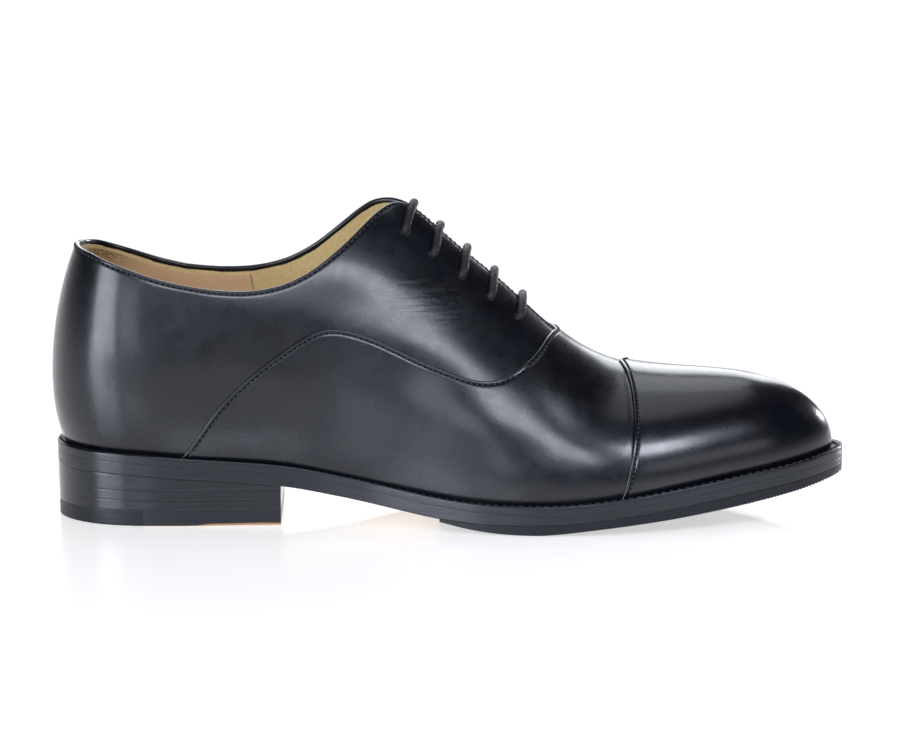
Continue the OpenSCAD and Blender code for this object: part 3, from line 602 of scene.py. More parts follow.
def cross_frames(path):
    """Two cross directions at each point of a path, carried along without twist."""
    tangent = unit(np.gradient(path, axis=0))
    first = np.cross(tangent[0], [0, 0, 1] if abs(tangent[0][2]) < 0.9 else [1, 0, 0])
    across = [first / np.linalg.norm(first)]
    for t in tangent[1:]:
        c = across[-1] - (across[-1] @ t) * t
        across.append(c / np.linalg.norm(c))
    across = np.array(across)
    return tangent, across, np.cross(tangent, across)


def ring_faces(count, sides, closed=False):
    """Quads of rings of points, each ring going round the direction of travel."""
    p = np.arange(count)[:, None] * sides + np.arange(sides)
    q = np.roll(p, -1, 1)
    after_p, after_q = np.roll(p, -1, 0), np.roll(q, -1, 0)
    quads = np.stack([p, q, after_q, after_p], -1)
    return (quads if closed else quads[:-1]).reshape(-1, 4)


def circle(sides, x, y):
    """Directions round a circle that lies across the directions x and y."""
    angle = 2 * math.pi * np.arange(sides) / sides
    return np.cos(angle)[:, None] * x[..., None, :] + np.sin(angle)[:, None] * y[..., None, :]


def tube_faces(count, sides):
    """Faces of a tube of rings, with both ends closed."""
    last = (count - 1) * sides
    ends = [list(range(sides))[::-1], [last + k for k in range(sides)]]
    return ring_faces(count, sides).tolist() + ends


def plug_faces(sides):
    """Faces of a short plug, whose upper ring comes first."""
    ends = [list(range(sides)), [sides + k for k in range(sides)][::-1]]
    after = [(k + 1) % sides for k in range(sides)]
    return ends + [[k, k + sides, j + sides, j] for k, j in enumerate(after)]


def repeated(faces, per, count):
    """The faces of a shape with per points, for count of them in a row."""
    return [[i * per + k for k in f] for i in range(count) for f in faces]


BRAID_STRANDS = 6


def braided(name, path, diameter, material, sides=24):
    """A round braided lace along a path of evenly spaced points."""
    _, x, y = cross_frames(path)
    angle = 2 * math.pi * np.arange(sides) / sides
    turn = BRAID_STRANDS * angle[None, :]
    run = run_along(path)[:, None] * BRAID_STRANDS / (diameter / 2)
    strands = np.maximum(np.cos(turn + run), np.cos(turn - run))
    radius = diameter / 2 * (0.95 + 0.055 * strands)
    points = path[:, None] + radius[..., None] * circle(sides, x, y)
    faces = tube_faces(len(path), sides)
    return make(name, points.reshape(-1, 3), faces, [material], weld=False, sharp=80)


def stitches(name, line, normal, pitch, thread, materials, length=0.72, sides=6):
    """A row of stitches along a line on the leather, each between two pierced holes."""
    keys = run_along(line)
    total = keys[-1]
    count = int(total / pitch)

    def sample(values, at):
        return np.stack([np.interp(at, keys, values[:, k]) for k in range(3)], -1)

    centres = (np.arange(count) + 0.5) * total / count
    t = unit(sample(line, centres + 0.3) - sample(line, centres - 0.3))
    n = unit(sample(normal, centres))
    c = np.cross(n, t)
    u = np.linspace(-1, 1, 9)
    half = pitch * length / 2
    lift = thread * (0.55 * (1 - u ** 4) - 0.35 * np.abs(u) ** 3)
    wide = thread / 2 * np.sqrt(np.clip(1.06 - u ** 6, 0.05, 1))
    middle = (
        sample(line, centres)[:, None] + t[:, None] * (u * half)[None, :, None]
        + n[:, None] * lift[None, :, None]
    )
    points = middle[:, :, None] + wide[None, :, None, None] * circle(sides, c, n)[:, None]
    faces = repeated(tube_faces(len(u), sides), len(u) * sides, count)
    which = [0] * len(faces)
    # Dark plugs at the holes, as painted shade inside them.
    holes, hole_faces = pierced(sample, line, normal, total, count, thread)
    offset = count * len(u) * sides
    faces += [[offset + k for k in f] for f in hole_faces]
    which += [1] * len(hole_faces)
    points = np.concatenate([points.reshape(-1, 3), holes])
    return make(name, points, faces, materials, which, weld=False, sharp=60)


# The holes between stitches, drawn as dark plugs of painted shade: sides, radius to the thread's
# width, and heights of the plug.
HOLE_SIDES = 8
HOLE_WIDE = 0.75
HOLE_TOP, HOLE_FOOT = 0.06, 0.3


def pierced(sample, line, normal, total, count, thread):
    """Short dark plugs at the holes between the stitches of a row, as painted shade in the holes."""
    at = np.arange(count + 1) * total / count
    centre, n = sample(line, at), unit(sample(normal, at))
    t = unit(sample(line, at + 0.3) - sample(line, at - 0.3))
    c = np.cross(n, t)
    rim = thread * HOLE_WIDE * circle(HOLE_SIDES, t, c)
    top = centre[:, None] + rim + HOLE_TOP * n[:, None]
    low = centre[:, None] + rim - HOLE_FOOT * n[:, None]
    points = np.stack([top, low], 1).reshape(-1, 3)
    return points, repeated(plug_faces(HOLE_SIDES), 2 * HOLE_SIDES, count + 1)


def beside(w, v, lift, aside):
    """A line on the leather beside another one, and the directions out of it."""
    line, n = skin(w, v), outward(w, v)
    t = unit(np.gradient(line, axis=0))
    return line + (lift - sway(line)[:, None]) * n + aside * np.cross(n, t), n


def w_at(s, side, out):
    """Where the bottom's edge reaches a distance from the heel back."""
    r = np.linspace(0, LAST, 2401)
    w = side_w(side, r)
    edge = np.maximum.accumulate(foot_line(w, out(w))[:, 0])
    return np.interp(s, edge, r)


def loft(name, span, out, top, low, materials, corner=0.15, low_corner=None, across=9,
         pitch=0.8, edge_rows=5):
    """A layer of the bottom between two distances from the heel back, as a closed loft."""
    low_corner = corner if low_corner is None else low_corner
    ends = {side: [w_at(s, side, out) for s in span] for side in (LATERAL, MEDIAL)}
    count = int((span[1] - span[0]) / pitch) + 1
    q = np.linspace(0, 1, count)
    if span[0] < 5:
        # The columns crowd together round the back of the heel.
        q = q ** 1.35
    turn = np.linspace(0, math.pi / 2, 4)
    inset = np.concatenate([
        low_corner * (1 - np.sin(turn)), np.zeros(edge_rows), corner * (1 - np.cos(turn))
    ])
    up = np.concatenate([
        low_corner * (1 - np.cos(turn)), np.zeros(edge_rows), -corner * (1 - np.sin(turn))
    ])
    share = np.concatenate([
        np.zeros(4), np.linspace(0, 1, edge_rows + 2)[1:-1], np.ones(4)
    ])

    def edge(side):
        r = ends[side][0] + (ends[side][1] - ends[side][0]) * q
        w = side_w(side, r)[:, None]
        xy = foot_line(w + 0 * inset, out(w) - inset)
        low_z, top_z = low(xy[..., 0]), top(xy[..., 0])
        z = low_z + (top_z - low_z) * share + up
        return np.concatenate([xy, z[..., None]], -1)

    lateral, medial = edge(LATERAL), edge(MEDIAL)[:, ::-1]
    f = np.linspace(0, 1, across + 2)[1:-1][None, :, None]

    def between(start, end, height):
        points = start[:, None] * (1 - f) + end[:, None] * f
        points[..., 2] = height(points[..., 0])
        return points

    ring = np.concatenate([
        lateral, between(lateral[:, -1], medial[:, 0], top),
        medial, between(medial[:, -1], lateral[:, 0], low),
    ], 1)
    sides = ring.shape[1]
    faces = ring_faces(count, sides)[:, ::-1].tolist()
    per = len(inset)
    column = np.tile(np.arange(sides), count - 1)
    under = (column >= 2 * per + across - 1) & (len(materials) > 1)
    which = under.astype(int).tolist()
    if span[0] > 5:
        faces.append(list(range(sides)))
        which.append(0)
    if span[1] < 290:
        faces.append([(count - 1) * sides + k for k in range(sides)][::-1])
        which.append(0)
    return make(name, ring.reshape(-1, 3), faces, materials, which, sharp=35)


def band(name, out_from, out_to, top, low, materials, corner=0.3, count=900):
    """A closed strip round the shoe, between two distances from the foot of the upper."""
    w = np.linspace(0, AROUND, count, endpoint=False)
    turn = np.linspace(0, math.pi / 2, 4)
    inset = np.concatenate([corner * (1 - np.sin(turn)), corner * (1 - np.cos(turn))])
    up = np.concatenate([corner * (1 - np.cos(turn)), -corner * (1 - np.sin(turn))])
    share = np.repeat([0, 1], 4)
    outer, inner = out_to(w)[:, None] - inset, (out_from(w)[:, None] + 0 * inset)[:, ::-1]

    def side(out, share, up):
        xy = foot_line(w[:, None] + 0 * out, out)
        low_z, top_z = low(xy[..., 0]), top(xy[..., 0])
        return np.concatenate([xy, (low_z + (top_z - low_z) * share + up)[..., None]], -1)

    mid_out = 0.5 * (outer[:, -1:] + inner[:, :1])
    ring = np.concatenate([
        side(outer, share, up), side(mid_out, np.ones(1), np.zeros(1)),
        side(inner[:, :2], np.array([1, 0]), np.zeros(2)),
    ], 1)
    faces = ring_faces(count, ring.shape[1], closed=True)[:, ::-1]
    return make(name, ring.reshape(-1, 3), faces, materials, sharp=35)


# ---- Camera ------------------------------------------------------------------------------

CAMERA_AIM = (0.1065, 0, 0.0548)
CAMERA_ELEVATION = math.radians(10)
CAMERA_DISTANCE = 2.5
CAMERA_LENS = 262


def make_camera():
    """A long lens looking at the shoe's outer side from a little above."""
    data = bpy.data.cameras.new("camera")
    data.lens = CAMERA_LENS
    camera = bpy.data.objects.new("camera", data)
    back = Vector((0, -math.cos(CAMERA_ELEVATION), math.sin(CAMERA_ELEVATION)))
    camera.location = Vector(CAMERA_AIM) + back * CAMERA_DISTANCE
    camera.rotation_euler = (-back).to_track_quat("-Z", "Y").to_euler()
    bpy.context.scene.collection.objects.link(camera)
    bpy.context.scene.camera = camera


make_camera()

# ---- Materials ---------------------------------------------------------------------------


class Finish:
    """A procedural material, with short calls for the nodes it is made of."""

    def __init__(self, name, **sockets):
        self.material = bpy.data.materials.new(name)
        self.material.use_nodes = True
        self.tree = self.material.node_tree
        self.shader = self.tree.nodes["Principled BSDF"]
        for socket, value in sockets.items():
            self.shader.inputs[socket.replace("_", " ")].default_value = value
        self.position = self.add("ShaderNodeTexCoord").outputs["Object"]
        self.height = None

    def add(self, kind, inputs=None, **settings):
        node = self.tree.nodes.new(kind)
        for key, value in settings.items():
            setattr(node, key, value)
        for key, value in (inputs or {}).items():
            if isinstance(value, bpy.types.NodeSocket):
                self.tree.links.new(value, node.inputs[key])
            else:
                node.inputs[key].default_value = value
        return node

    def place(self, scale):
        """Object coordinates stretched by a scale for each direction, in features a metre."""
        if isinstance(scale, (int, float)):
            scale = (scale,) * 3
        inputs = {"Vector": self.position, "Scale": scale}
        return self.add("ShaderNodeMapping", inputs).outputs["Vector"]

    def noise(self, scale, detail=3.0, rough=0.55):
        inputs = {"Vector": self.place(scale), "Scale": 1.0, "Detail": detail, "Roughness": rough}
        return self.add("ShaderNodeTexNoise", inputs).outputs["Fac"]

    def cells(self, scale, feature="F1"):
        inputs = {"Vector": self.place(scale), "Scale": 1.0}
        return self.add("ShaderNodeTexVoronoi", inputs, feature=feature).outputs["Distance"]

    def ramp(self, value, low, high, out_low=0.0, out_high=1.0):
        inputs = {
            "Value": value, "From Min": low, "From Max": high,
            "To Min": out_low, "To Max": out_high,
        }
        node = self.add("ShaderNodeMapRange", inputs, interpolation_type="SMOOTHSTEP")
        return node.outputs["Result"]

    def math(self, operation, a, b=0.0):
        return self.add("ShaderNodeMath", {0: a, 1: b}, operation=operation).outputs[0]

    def axis(self, name):
        node = self.add("ShaderNodeSeparateXYZ", {"Vector": self.position})
        return node.outputs[name]

    def near(self, centre, radii):
        """1 at a place on the shoe, given in millimetres, falling to 0 at the radii."""
        scale = tuple(1000 / r for r in radii)
        shift = tuple(-c * k for c, k in zip(place([centre])[0], scale))
        inputs = {"Vector": self.position, "Scale": scale, "Location": shift}
        moved = self.add("ShaderNodeMapping", inputs).outputs["Vector"]
        size = self.add("ShaderNodeVectorMath", {0: moved}, operation="LENGTH").outputs["Value"]
        return self.ramp(size, 0.35, 1.0, 1.0, 0.0)

    def colour(self, factor, first, second):
        node = self.tree.nodes.new("ShaderNodeMix")
        node.data_type = "RGBA"
        self.tree.links.new(factor, node.inputs["Factor"])
        sockets = [s for s in node.inputs if s.type == "RGBA"]
        for socket, value in zip(sockets, (first, second)):
            if isinstance(value, bpy.types.NodeSocket):
                self.tree.links.new(value, socket)
            else:
                socket.default_value = tuple(value) + (1,)
        return [s for s in node.outputs if s.type == "RGBA"][0]

    def set(self, socket, value):
        self.tree.links.new(value, self.shader.inputs[socket])

    def bump(self, height, distance, strength=1.0):
        """Adds a relief; distance is its height in metres."""
        inputs = {"Height": height, "Distance": distance, "Strength": strength}
        if self.height is not None:
            inputs["Normal"] = self.height
        self.height = self.add("ShaderNodeBump", inputs).outputs["Normal"]
        self.set("Normal", self.height)


# Tint of what black leather and rubber mirror, and the two tones of their ink.
COOL = (0.82, 0.87, 1, 1)
INK = (0.002, 0.0024, 0.0045), (0.005, 0.0056, 0.0095)
WRINKLES_AT = [142, -20, 85]
WRINKLES_WIDE = (24, 60, 13)


def calf(name, rough, coat):
    """Smooth black calf: fine pores, faint creases and a waxed shine."""
    f = Finish(
        name, Coat_Weight=coat, Coat_Roughness=0.17, Coat_IOR=1.5, Specular_IOR_Level=0.45,
        Specular_Tint=COOL,
    )
    cloudy = f.noise(26, 3.0)
    mottled = f.colour(f.ramp(cloudy, 0.3, 0.7), (0.0012, 0.0016, 0.0036), (0.0024, 0.003, 0.0064))
    f.set("Base Color", mottled)
    f.set("Roughness", f.ramp(f.noise(180, 4.0), 0.25, 0.75, rough - 0.035, rough + 0.045))
    f.bump(f.cells(1500), 0.000009)
    f.bump(f.noise(3200, 3.0), 0.000008)
    f.bump(f.noise(420, 3.0), 0.00002)
    wrinkle = f.noise((55, 55, 620), 3.0, 0.6)
    mask = f.near(WRINKLES_AT, WRINKLES_WIDE)
    f.bump(f.math("MULTIPLY", f.ramp(wrinkle, 0.35, 0.65), mask), 0.00006)
    return f.material


def painted_edge(name, rough, lines):
    """Inked and waxed leather edge, with faint layers running along it."""
    f = Finish(name, Coat_Weight=0.25, Coat_Roughness=0.15, Specular_Tint=COOL)
    layers = f.noise((18, 18, lines), 4.0, 0.6)
    f.set("Base Color", f.colour(layers, *INK))
    f.set("Roughness", f.ramp(f.noise((60, 60, lines * 1.6), 3.0), 0.3, 0.7, rough, rough + 0.12))
    f.bump(layers, 0.00007)
    f.bump(f.noise(900, 3.0), 0.000015)
    return f.material


def rubber():
    f = Finish("sole_rubber", Specular_Tint=COOL, Specular_IOR_Level=0.4)
    scuffed = f.noise((40, 40, 700), 4.0)
    f.set("Base Color", f.colour(scuffed, (0.003, 0.0034, 0.0055), (0.008, 0.0085, 0.012)))
    f.set("Roughness", f.ramp(f.noise(700, 3.0), 0.3, 0.7, 0.34, 0.5))
    f.bump(scuffed, 0.00006)
    f.bump(f.noise(2400, 2.0), 0.00002)
    return f.material


def natural_leather(name, dark, light, grain, rough=0.55, sheen=0.0):
    """Undyed leather: clouded colour, fine pores and short fibres."""
    f = Finish(name, Sheen_Weight=sheen)
    clouds = f.noise(45, 4.0, 0.65)
    specks = f.ramp(f.noise(grain, 3.0), 0.35, 0.75, 0.0, 0.45)
    f.set("Base Color", f.colour(f.ramp(f.math("ADD", clouds, specks), 0.3, 1.0), light, dark))
    f.set("Roughness", f.ramp(f.noise(300, 3.0), 0.3, 0.7, rough - 0.06, rough + 0.08))
    f.bump(f.cells(grain), 0.00003)
    f.bump(f.noise(grain * 2, 3.0), 0.00003)
    return f.material


SUEDE_AT = [14, 0, 104]
SUEDE_WIDE = (34, 60, 22)


def heel_lining_finish():
    """Pale smooth leather, turned rough side out as a brown speckled grip at the heel."""
    f = Finish("heel_lining_leather", Roughness=0.6, Sheen_Weight=0.25)
    smooth = f.colour(f.noise(60, 4.0), (0.62, 0.4, 0.22), (0.7, 0.49, 0.29))
    speckled = f.colour(
        f.ramp(f.noise(1100, 3.0, 0.7), 0.42, 0.6), (0.1, 0.05, 0.02), (0.5, 0.33, 0.15)
    )
    f.set("Base Color", f.colour(f.near(SUEDE_AT, SUEDE_WIDE), smooth, speckled))
    f.bump(f.noise(1500, 4.0), 0.00012)
    return f.material


def lining_finish():
    f = Finish("lining_leather", Sheen_Weight=0.1)
    clouds = f.noise(38, 3.0, 0.6)
    base = f.colour(clouds, (0.62, 0.47, 0.22), (0.74, 0.6, 0.33))
    pores = f.ramp(f.noise(1600, 3.0), 0.35, 0.6)
    f.set("Base Color", f.colour(pores, (0.56, 0.42, 0.18), base))
    f.set("Roughness", f.ramp(f.noise(260, 3.0), 0.3, 0.7, 0.42, 0.58))
    f.bump(f.cells(1700), 0.00003)
    f.bump(f.noise(240, 3.0), 0.00006)
    return f.material


def cork_finish():
    f = Finish("cork", Roughness=0.85)
    f.set("Base Color", f.colour(f.cells(450), (0.42, 0.26, 0.12), (0.18, 0.09, 0.04)))
    f.bump(f.cells(450), 0.0003)
    return f.material


def woven_finish(name, dark, light, threads):
    f = Finish(name, Roughness=0.85, Sheen_Weight=0.2)
    waves = []
    for direction in ("X", "Z"):
        inputs = {"Vector": f.position, "Scale": threads}
        node = f.add("ShaderNodeTexWave", inputs, bands_direction=direction)
        waves.append(node.outputs["Fac"])
    weave = f.math("MULTIPLY", waves[0], waves[1])
    f.set("Base Color", f.colour(weave, dark, light))
    f.bump(weave, 0.0001)
    return f.material


def enamel_finish():
    f = Finish("eyelet_metal", Metallic=0.6)
    worn = f.noise(900, 3.0)
    f.set("Base Color", f.colour(f.ramp(worn, 0.45, 0.7), (0.02, 0.02, 0.024), (0.12, 0.12, 0.13)))
    f.set("Roughness", f.ramp(worn, 0.3, 0.7, 0.22, 0.4))
    f.bump(worn, 0.00001)
    return f.material


def noisy_finish(name, tone, dark, light, relief, depth, rough=None, **sockets):
    """Colour and relief from noises of a given scale, and so for roughness where it varies."""
    f = Finish(name, **sockets)
    f.set("Base Color", f.colour(f.noise(*tone), dark, light))
    if rough is not None:
        scale, low, high, smooth, dull = rough
        f.set("Roughness", f.ramp(f.noise(*scale), low, high, smooth, dull))
    f.bump(f.noise(*relief), depth)
    return f.material


def top_piece_finish():
    """Heel leather whose inked side gives way to bare tan along the lowest edge."""
    f = Finish("top_piece_edge", Coat_Weight=0.2, Coat_Roughness=0.2, Specular_Tint=COOL)
    worn = f.noise((90, 90, 400), 3.0)
    level = f.math("ADD", f.axis("Z"), f.math("MULTIPLY", worn, -0.0006))
    black = f.colour(f.noise((18, 18, 1500), 4.0), *INK)
    tan = f.colour(f.noise(300, 3.0), (0.3, 0.16, 0.07), (0.45, 0.27, 0.13))
    inked = f.ramp(f.axis("X"), place([52, 0, 0])[0], place([62, 0, 0])[0], 0.0007, 0.0)
    bare = f.ramp(f.math("ADD", level, inked), 0.0003, 0.0007)
    f.set("Base Color", f.colour(bare, tan, black))
    f.set("Roughness", f.ramp(worn, 0.3, 0.7, 0.3, 0.42))
    f.bump(f.noise((18, 18, 1500), 4.0), 0.00006)
    return f.material


CALF = calf("calf", 0.28, 0.4)
CAP_CALF = calf("calf_polished", 0.24, 0.5)
SOLE_EDGE = painted_edge("sole_edge", 0.26, 1300)
HEEL_EDGE = painted_edge("heel_edge", 0.13, 1700)
RUBBER = rubber()
BOTTOM = natural_leather("bottom_leather", (0.3, 0.19, 0.11), (0.46, 0.33, 0.21), 800, 0.45)
INSOLE = natural_leather("insole_leather", (0.45, 0.29, 0.14), (0.66, 0.49, 0.29), 1400, 0.55)
LINING = lining_finish()
HEEL_LINING = heel_lining_finish()
CORK = cork_finish()
BRUSHED = ((60, 1500, 1500), 3.0)
STEEL = noisy_finish(
    "steel", BRUSHED, (0.42, 0.43, 0.45), (0.6, 0.61, 0.63), BRUSHED, 0.00001,
    (BRUSHED, 0.3, 0.7, 0.3, 0.45), Metallic=1.0,
)
CANVAS = woven_finish("canvas", (0.5, 0.46, 0.36), (0.75, 0.71, 0.6), 450.0)
FIBRE = noisy_finish(
    "fibreboard", (500, 4.0), (0.45, 0.4, 0.32), (0.62, 0.58, 0.5), (900, 4.0), 0.0001,
    Roughness=0.8,
)
EYELET = enamel_finish()
# Waxed cotton. Its colour follows the same noise as its relief, so the ridges of the braid are
# lighter as a painted sheen and the hollows darker as painted shade; its roughness varies apart from
# that.
LACE = noisy_finish(
    "lace", (2600, 3.0, 0.65), (0.003, 0.0033, 0.006), (0.014, 0.0145, 0.022),
    (2600, 3.0, 0.65), 0.00016, ((1500, 3.0), 0.35, 0.65, 0.3, 0.8), Specular_IOR_Level=0.35,
)
AGLET = noisy_finish(
    "aglet_plastic", (300, 2.0), (0.012, 0.012, 0.014), (0.02, 0.02, 0.022), (500, 2.0),
    0.00002, ((800, 3.0), 0.3, 0.7, 0.18, 0.3), Coat_Weight=0.6, Coat_Roughness=0.08,
)
TWIST = (3800, 2.0)
THREAD = noisy_finish(
    "thread", TWIST, (0.012, 0.013, 0.02), (0.035, 0.037, 0.05), TWIST, 0.00004,
    (TWIST, 0.3, 0.7, 0.5, 0.7), Specular_IOR_Level=0.3,
)
# Near-black and matte: painted shade inside the stitch holes.
HOLE_SHADE = noisy_finish(
    "stitch_hole_shade", (2000, 2.0), (0.001, 0.001, 0.0013), (0.003, 0.003, 0.004), (2500, 2.0),
    0.00003, Roughness=0.95, Specular_IOR_Level=0.05,
)
GROOVE = painted_edge("welt_groove", 0.7, 300)
TOP_PIECE_EDGE = top_piece_finish()

# ---- How pieces move with the frame ------------------------------------------------------


def bend(piece):
    """Bakes the piece's placement into its mesh."""
    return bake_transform(piece)


def finish_piece(piece, slot, nodes=(), body=None):
    """Hides the nodes a piece replaces and sets what it moves with; the slot is not used."""
    if nodes:
        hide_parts(*nodes)
    return bend(piece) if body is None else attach(piece, body)


# ---- Lace --------------------------------------------------------------------------------

LACE_PITCH = 0.3


def aglet_tip(name, path):
    """A moulded tip on the end of a lace, a little crimped where it starts."""
    direction = unit(path[-1] - path[-2])
    along = np.array([-0.6, -0.5, 0.2, 0.9, 1.6, 3, 6, 10, 14.4, 15.3, 15.8, 16, 16])
    radius = np.array([1.3, 1.48, 1.5, 1.4, 1.5, 1.5, 1.48, 1.46, 1.42, 1.3, 1.05, 0.6, 0.05])
    centre = path[-1] + along[:, None] * direction
    _, x, y = cross_frames(centre + np.arange(len(centre))[:, None] * 1e-4 * direction)
    sides = 24
    points = centre[:, None] + radius[:, None, None] * circle(sides, x[0], y[0])
    faces = tube_faces(len(along), sides)
    return make(name, points.reshape(-1, 3), faces, [AGLET], weld=False)


def make_free_end(side, route):
    """A free end of the lace, tucked down inside the quarter, with its tip."""
    path = smooth_path(route, LACE_PITCH)
    end = braided(f"lace_end_{side}_looks", path, LACE_D, LACE)
    tip = aglet_tip(f"aglet_{side}_looks", path)
    finish_piece(end, "lace", [f"lace_end_{side}"])
    finish_piece(tip, "aglet_plastic", [f"aglet_{side}"])
    length = run_along(path)[-1] * FIT / 1000


# Where a bar crosses the ridge it is drawn in a little: back along the ribs, and down.
OVER_BACK, OVER_LIFT = 0.06, 1.5
LACED_D = 3.15


def make_laced():
    """The laced stretch: five straight bars outside, and the runs behind the facings."""
    rib, v, lift = LACE_ROUTE.T
    over = v == 1
    rib, lift = np.where(over, rib - OVER_BACK, rib), np.where(over, OVER_LIFT, lift)
    w = np.where(rib < 0, AROUND + rib, rib)
    panel = Panel(w[:, None], v[:, None])
    path = smooth_path(panel.at(-lift[:, None])[:, 0], LACE_PITCH)
    laced = braided("lace_laced_looks", path, LACED_D, LACE)
    finish_piece(laced, "lace", ["lace_laced"], "shoe")


make_free_end("lateral", LACE_END_LATERAL)
make_free_end("medial", LACE_END_MEDIAL)
make_laced()

# ---- Upper -------------------------------------------------------------------------------

# Height of the foot up a rib, lean of the vamp's columns and least height of its corner.
FOOT_V = -0.012
VAMP_LEAN = 0.112
CORNER_V = 0.012
# Nominal length for spacing the cap's first columns; it is really 98 mm at the foot, less above.
CAP_NOMINAL = 105
# The lap under the vamp's edge, with nominal lengths of 30 mm for a rib step and 130 for a rib.
LAP_RIBS, LAP_V = LAP / 30, LAP / 130


def vamp_at(a, b):
    v = FOOT_V + (np.maximum(seam(a), CORNER_V) - FOOT_V) * b
    return a - (a - SEAM_START) * VAMP_LEAN * (1 - b), v


def cap_at(a, b):
    v = FOOT_V + (1 - FOOT_V) * b
    return cap_line(v) + (LAST - cap_line(v)) * a, v


def quarter_low(r):
    low = np.minimum(np.minimum(seam(r - LAP_RIBS), seam(r)), seam(r + 0.2))
    return np.maximum(low - LAP_V * step(3, 3.6, r), FOOT_V)


def quarter_at(side):
    def at(a, b):
        low = quarter_low(a)
        return a + 0 * b, low + (topline(side_w(side, a)) - low) * b
    return at


def grid(at, a, count, near):
    """Column and row positions of a grid whose rows crowd together at its top."""
    return a[:, None], rows(at, a, count, near)


def make_vamp():
    a = np.concatenate([np.linspace(SEAM_START, THROAT, 330), np.linspace(THROAT, 11.15, 70)[1:]])
    panels = both_sides(vamp_at, *grid(vamp_at, a, 90, NEAR_EDGE))
    piece = make("vamp_looks", *shell(panels, vamp_outer, vamp_inner), [CALF])
    finish_piece(piece, "calf", ["vamp"])


def make_cap():
    edge = np.array([0, 0.05, 0.13, 0.25, 0.4, 0.58, 0.8, 1.05, 1.3, 1.6, 1.9, 2.3]) / CAP_NOMINAL
    a = close_to(0, edge, np.linspace(2.8 / CAP_NOMINAL, 1, 150))
    panels = both_sides(cap_at, a[:, None], np.linspace(0, 1, 130)[None, :])
    piece = make("toe_cap_looks", *shell(panels, cap_outer, cap_inner), [CAP_CALF])
    finish_piece(piece, "calf", ["toe_cap"])


def hole_cutters(side):
    """Cylinders where the eyelets pierce a facing."""
    points, sides = [], 32
    for rib, v in EYELETS:
        w = side_w(side, rib)
        n, p = outward(np.array(w), np.array(v)), skin(np.array(w), np.array(v))
        x = unit(np.cross(n, [0, 0, 1]))
        rim = EYELET_HOLE_R * circle(sides, x, np.cross(n, x))
        points.append(np.concatenate([p + rim + 3 * n, p + rim - 6 * n]))
    faces = repeated(plug_faces(sides), 2 * sides, len(EYELETS))
    return make("cutters", np.concatenate(points), faces, [], weld=False)


def pierce(piece, side):
    """Cuts the eyelet holes through a piece."""
    cutter = hole_cutters(side)
    cut = piece.modifiers.new("holes", "BOOLEAN")
    cut.object, cut.operation, cut.solver = cutter, "DIFFERENCE", "EXACT"
    graph = bpy.context.evaluated_depsgraph_get()
    mesh = bpy.data.meshes.new_from_object(piece.evaluated_get(graph))
    piece.modifiers.clear()
    piece.data = mesh
    mesh.polygons.foreach_set("use_smooth", [True] * len(mesh.polygons))
    mesh.set_sharp_from_angle(angle=math.radians(40))
    bpy.data.objects.remove(cutter)


def make_quarter(side, name):
    at = quarter_at(side)
    a = np.concatenate([[0.004, 0.009, 0.016, 0.03], np.linspace(0.06, 9.98, 430)])
    column, row = grid(at, a, 62, NEAR_EDGE)
    panel = one_side(side, *at(column, row))
    points, faces = shell([panel], quarter_outer, quarter_inner)
    piece = make(f"quarter_{name}_looks", points, faces, [CALF])
    pierce(piece, side)
    finish_piece(piece, "calf", [f"quarter_{name}"], "shoe")


make_vamp()
make_cap()
for SIDE, SIDE_NAME in SIDES:
    make_quarter(SIDE, SIDE_NAME)

# ---- Seams -------------------------------------------------------------------------------

# Thread width and stitch pitches; the rows lie a little below the edge of their lap.
THREAD_D, TACK_D = 0.56, 0.55
SEAM_PITCH, CAP_PITCH = 2.2, 1.9
SUNK = 0.08


def make_seams(side, name):
    """The rows of stitches on one side of the upper."""
    r = np.linspace(SEAM_START + 0.12, THROAT - 0.03, 1400)
    cap_v = np.linspace(0.03, 0.995, 900)
    top_r = np.linspace(0.05, 9.75, 2000)
    top_w = side_w(side, top_r)
    top_lift = (-0.1 - 0.28 * step(6.9, 7.4, top_r))[:, None]
    vamp = (side_w(side, r), seam(r), PROUD_VAMP - SUNK)
    cap = (side_w(side, cap_line(cap_v)), cap_v, PROUD_CAP - SUNK)
    for edge, (w, v, lift), aside, pitch, body in (
        ("vamp", vamp, STITCH_IN, SEAM_PITCH, None),
        ("cap", cap, STITCH_IN, CAP_PITCH, None),
        ("topline", (top_w, topline(top_w), top_lift), TOP_STITCH_IN, SEAM_PITCH, "shoe"),
    ):
        line, n = beside(w, v, lift, side * aside)
        row = stitches(f"stitches_{edge}_{name}", line, n, pitch, THREAD_D, [THREAD, HOLE_SHADE])
        finish_piece(row, "thread", body=body)


def threads(name, paths, thread, material, sides=8):
    """Several short threads as one piece."""
    points, faces, base = [], [], 0
    for path in paths:
        path = smooth_path(path, LACE_PITCH)
        _, x, y = cross_frames(path)
        points.append((path[:, None] + thread / 2 * circle(sides, x, y)).reshape(-1, 3))
        faces += [[base + k for k in f] for f in tube_faces(len(path), sides)]
        base += len(path) * sides
    return make(name, np.concatenate(points), faces, [material], weld=False)


def make_bar_tack():
    """A short bar of close stitches across the facings, just above the throat."""
    paths = []
    for r in np.linspace(9.68, 9.78, 5):
        v = np.concatenate([np.linspace(0.975, 1, 9), np.linspace(1, 0.975, 9)[1:]])
        w = np.where(np.arange(17) < 9, r, AROUND - r)
        lift = -0.2 + 0.35 * np.sin(np.linspace(0, math.pi, 17))
        paths.append(Panel(w[:, None], v[:, None]).at(-lift[:, None])[:, 0])
    finish_piece(threads("bar_tack_looks", paths, TACK_D, THREAD), "thread", body="shoe")


for SIDE, SIDE_NAME in SIDES:
    make_seams(SIDE, SIDE_NAME)
make_bar_tack()

# ---- Inside ------------------------------------------------------------------------------

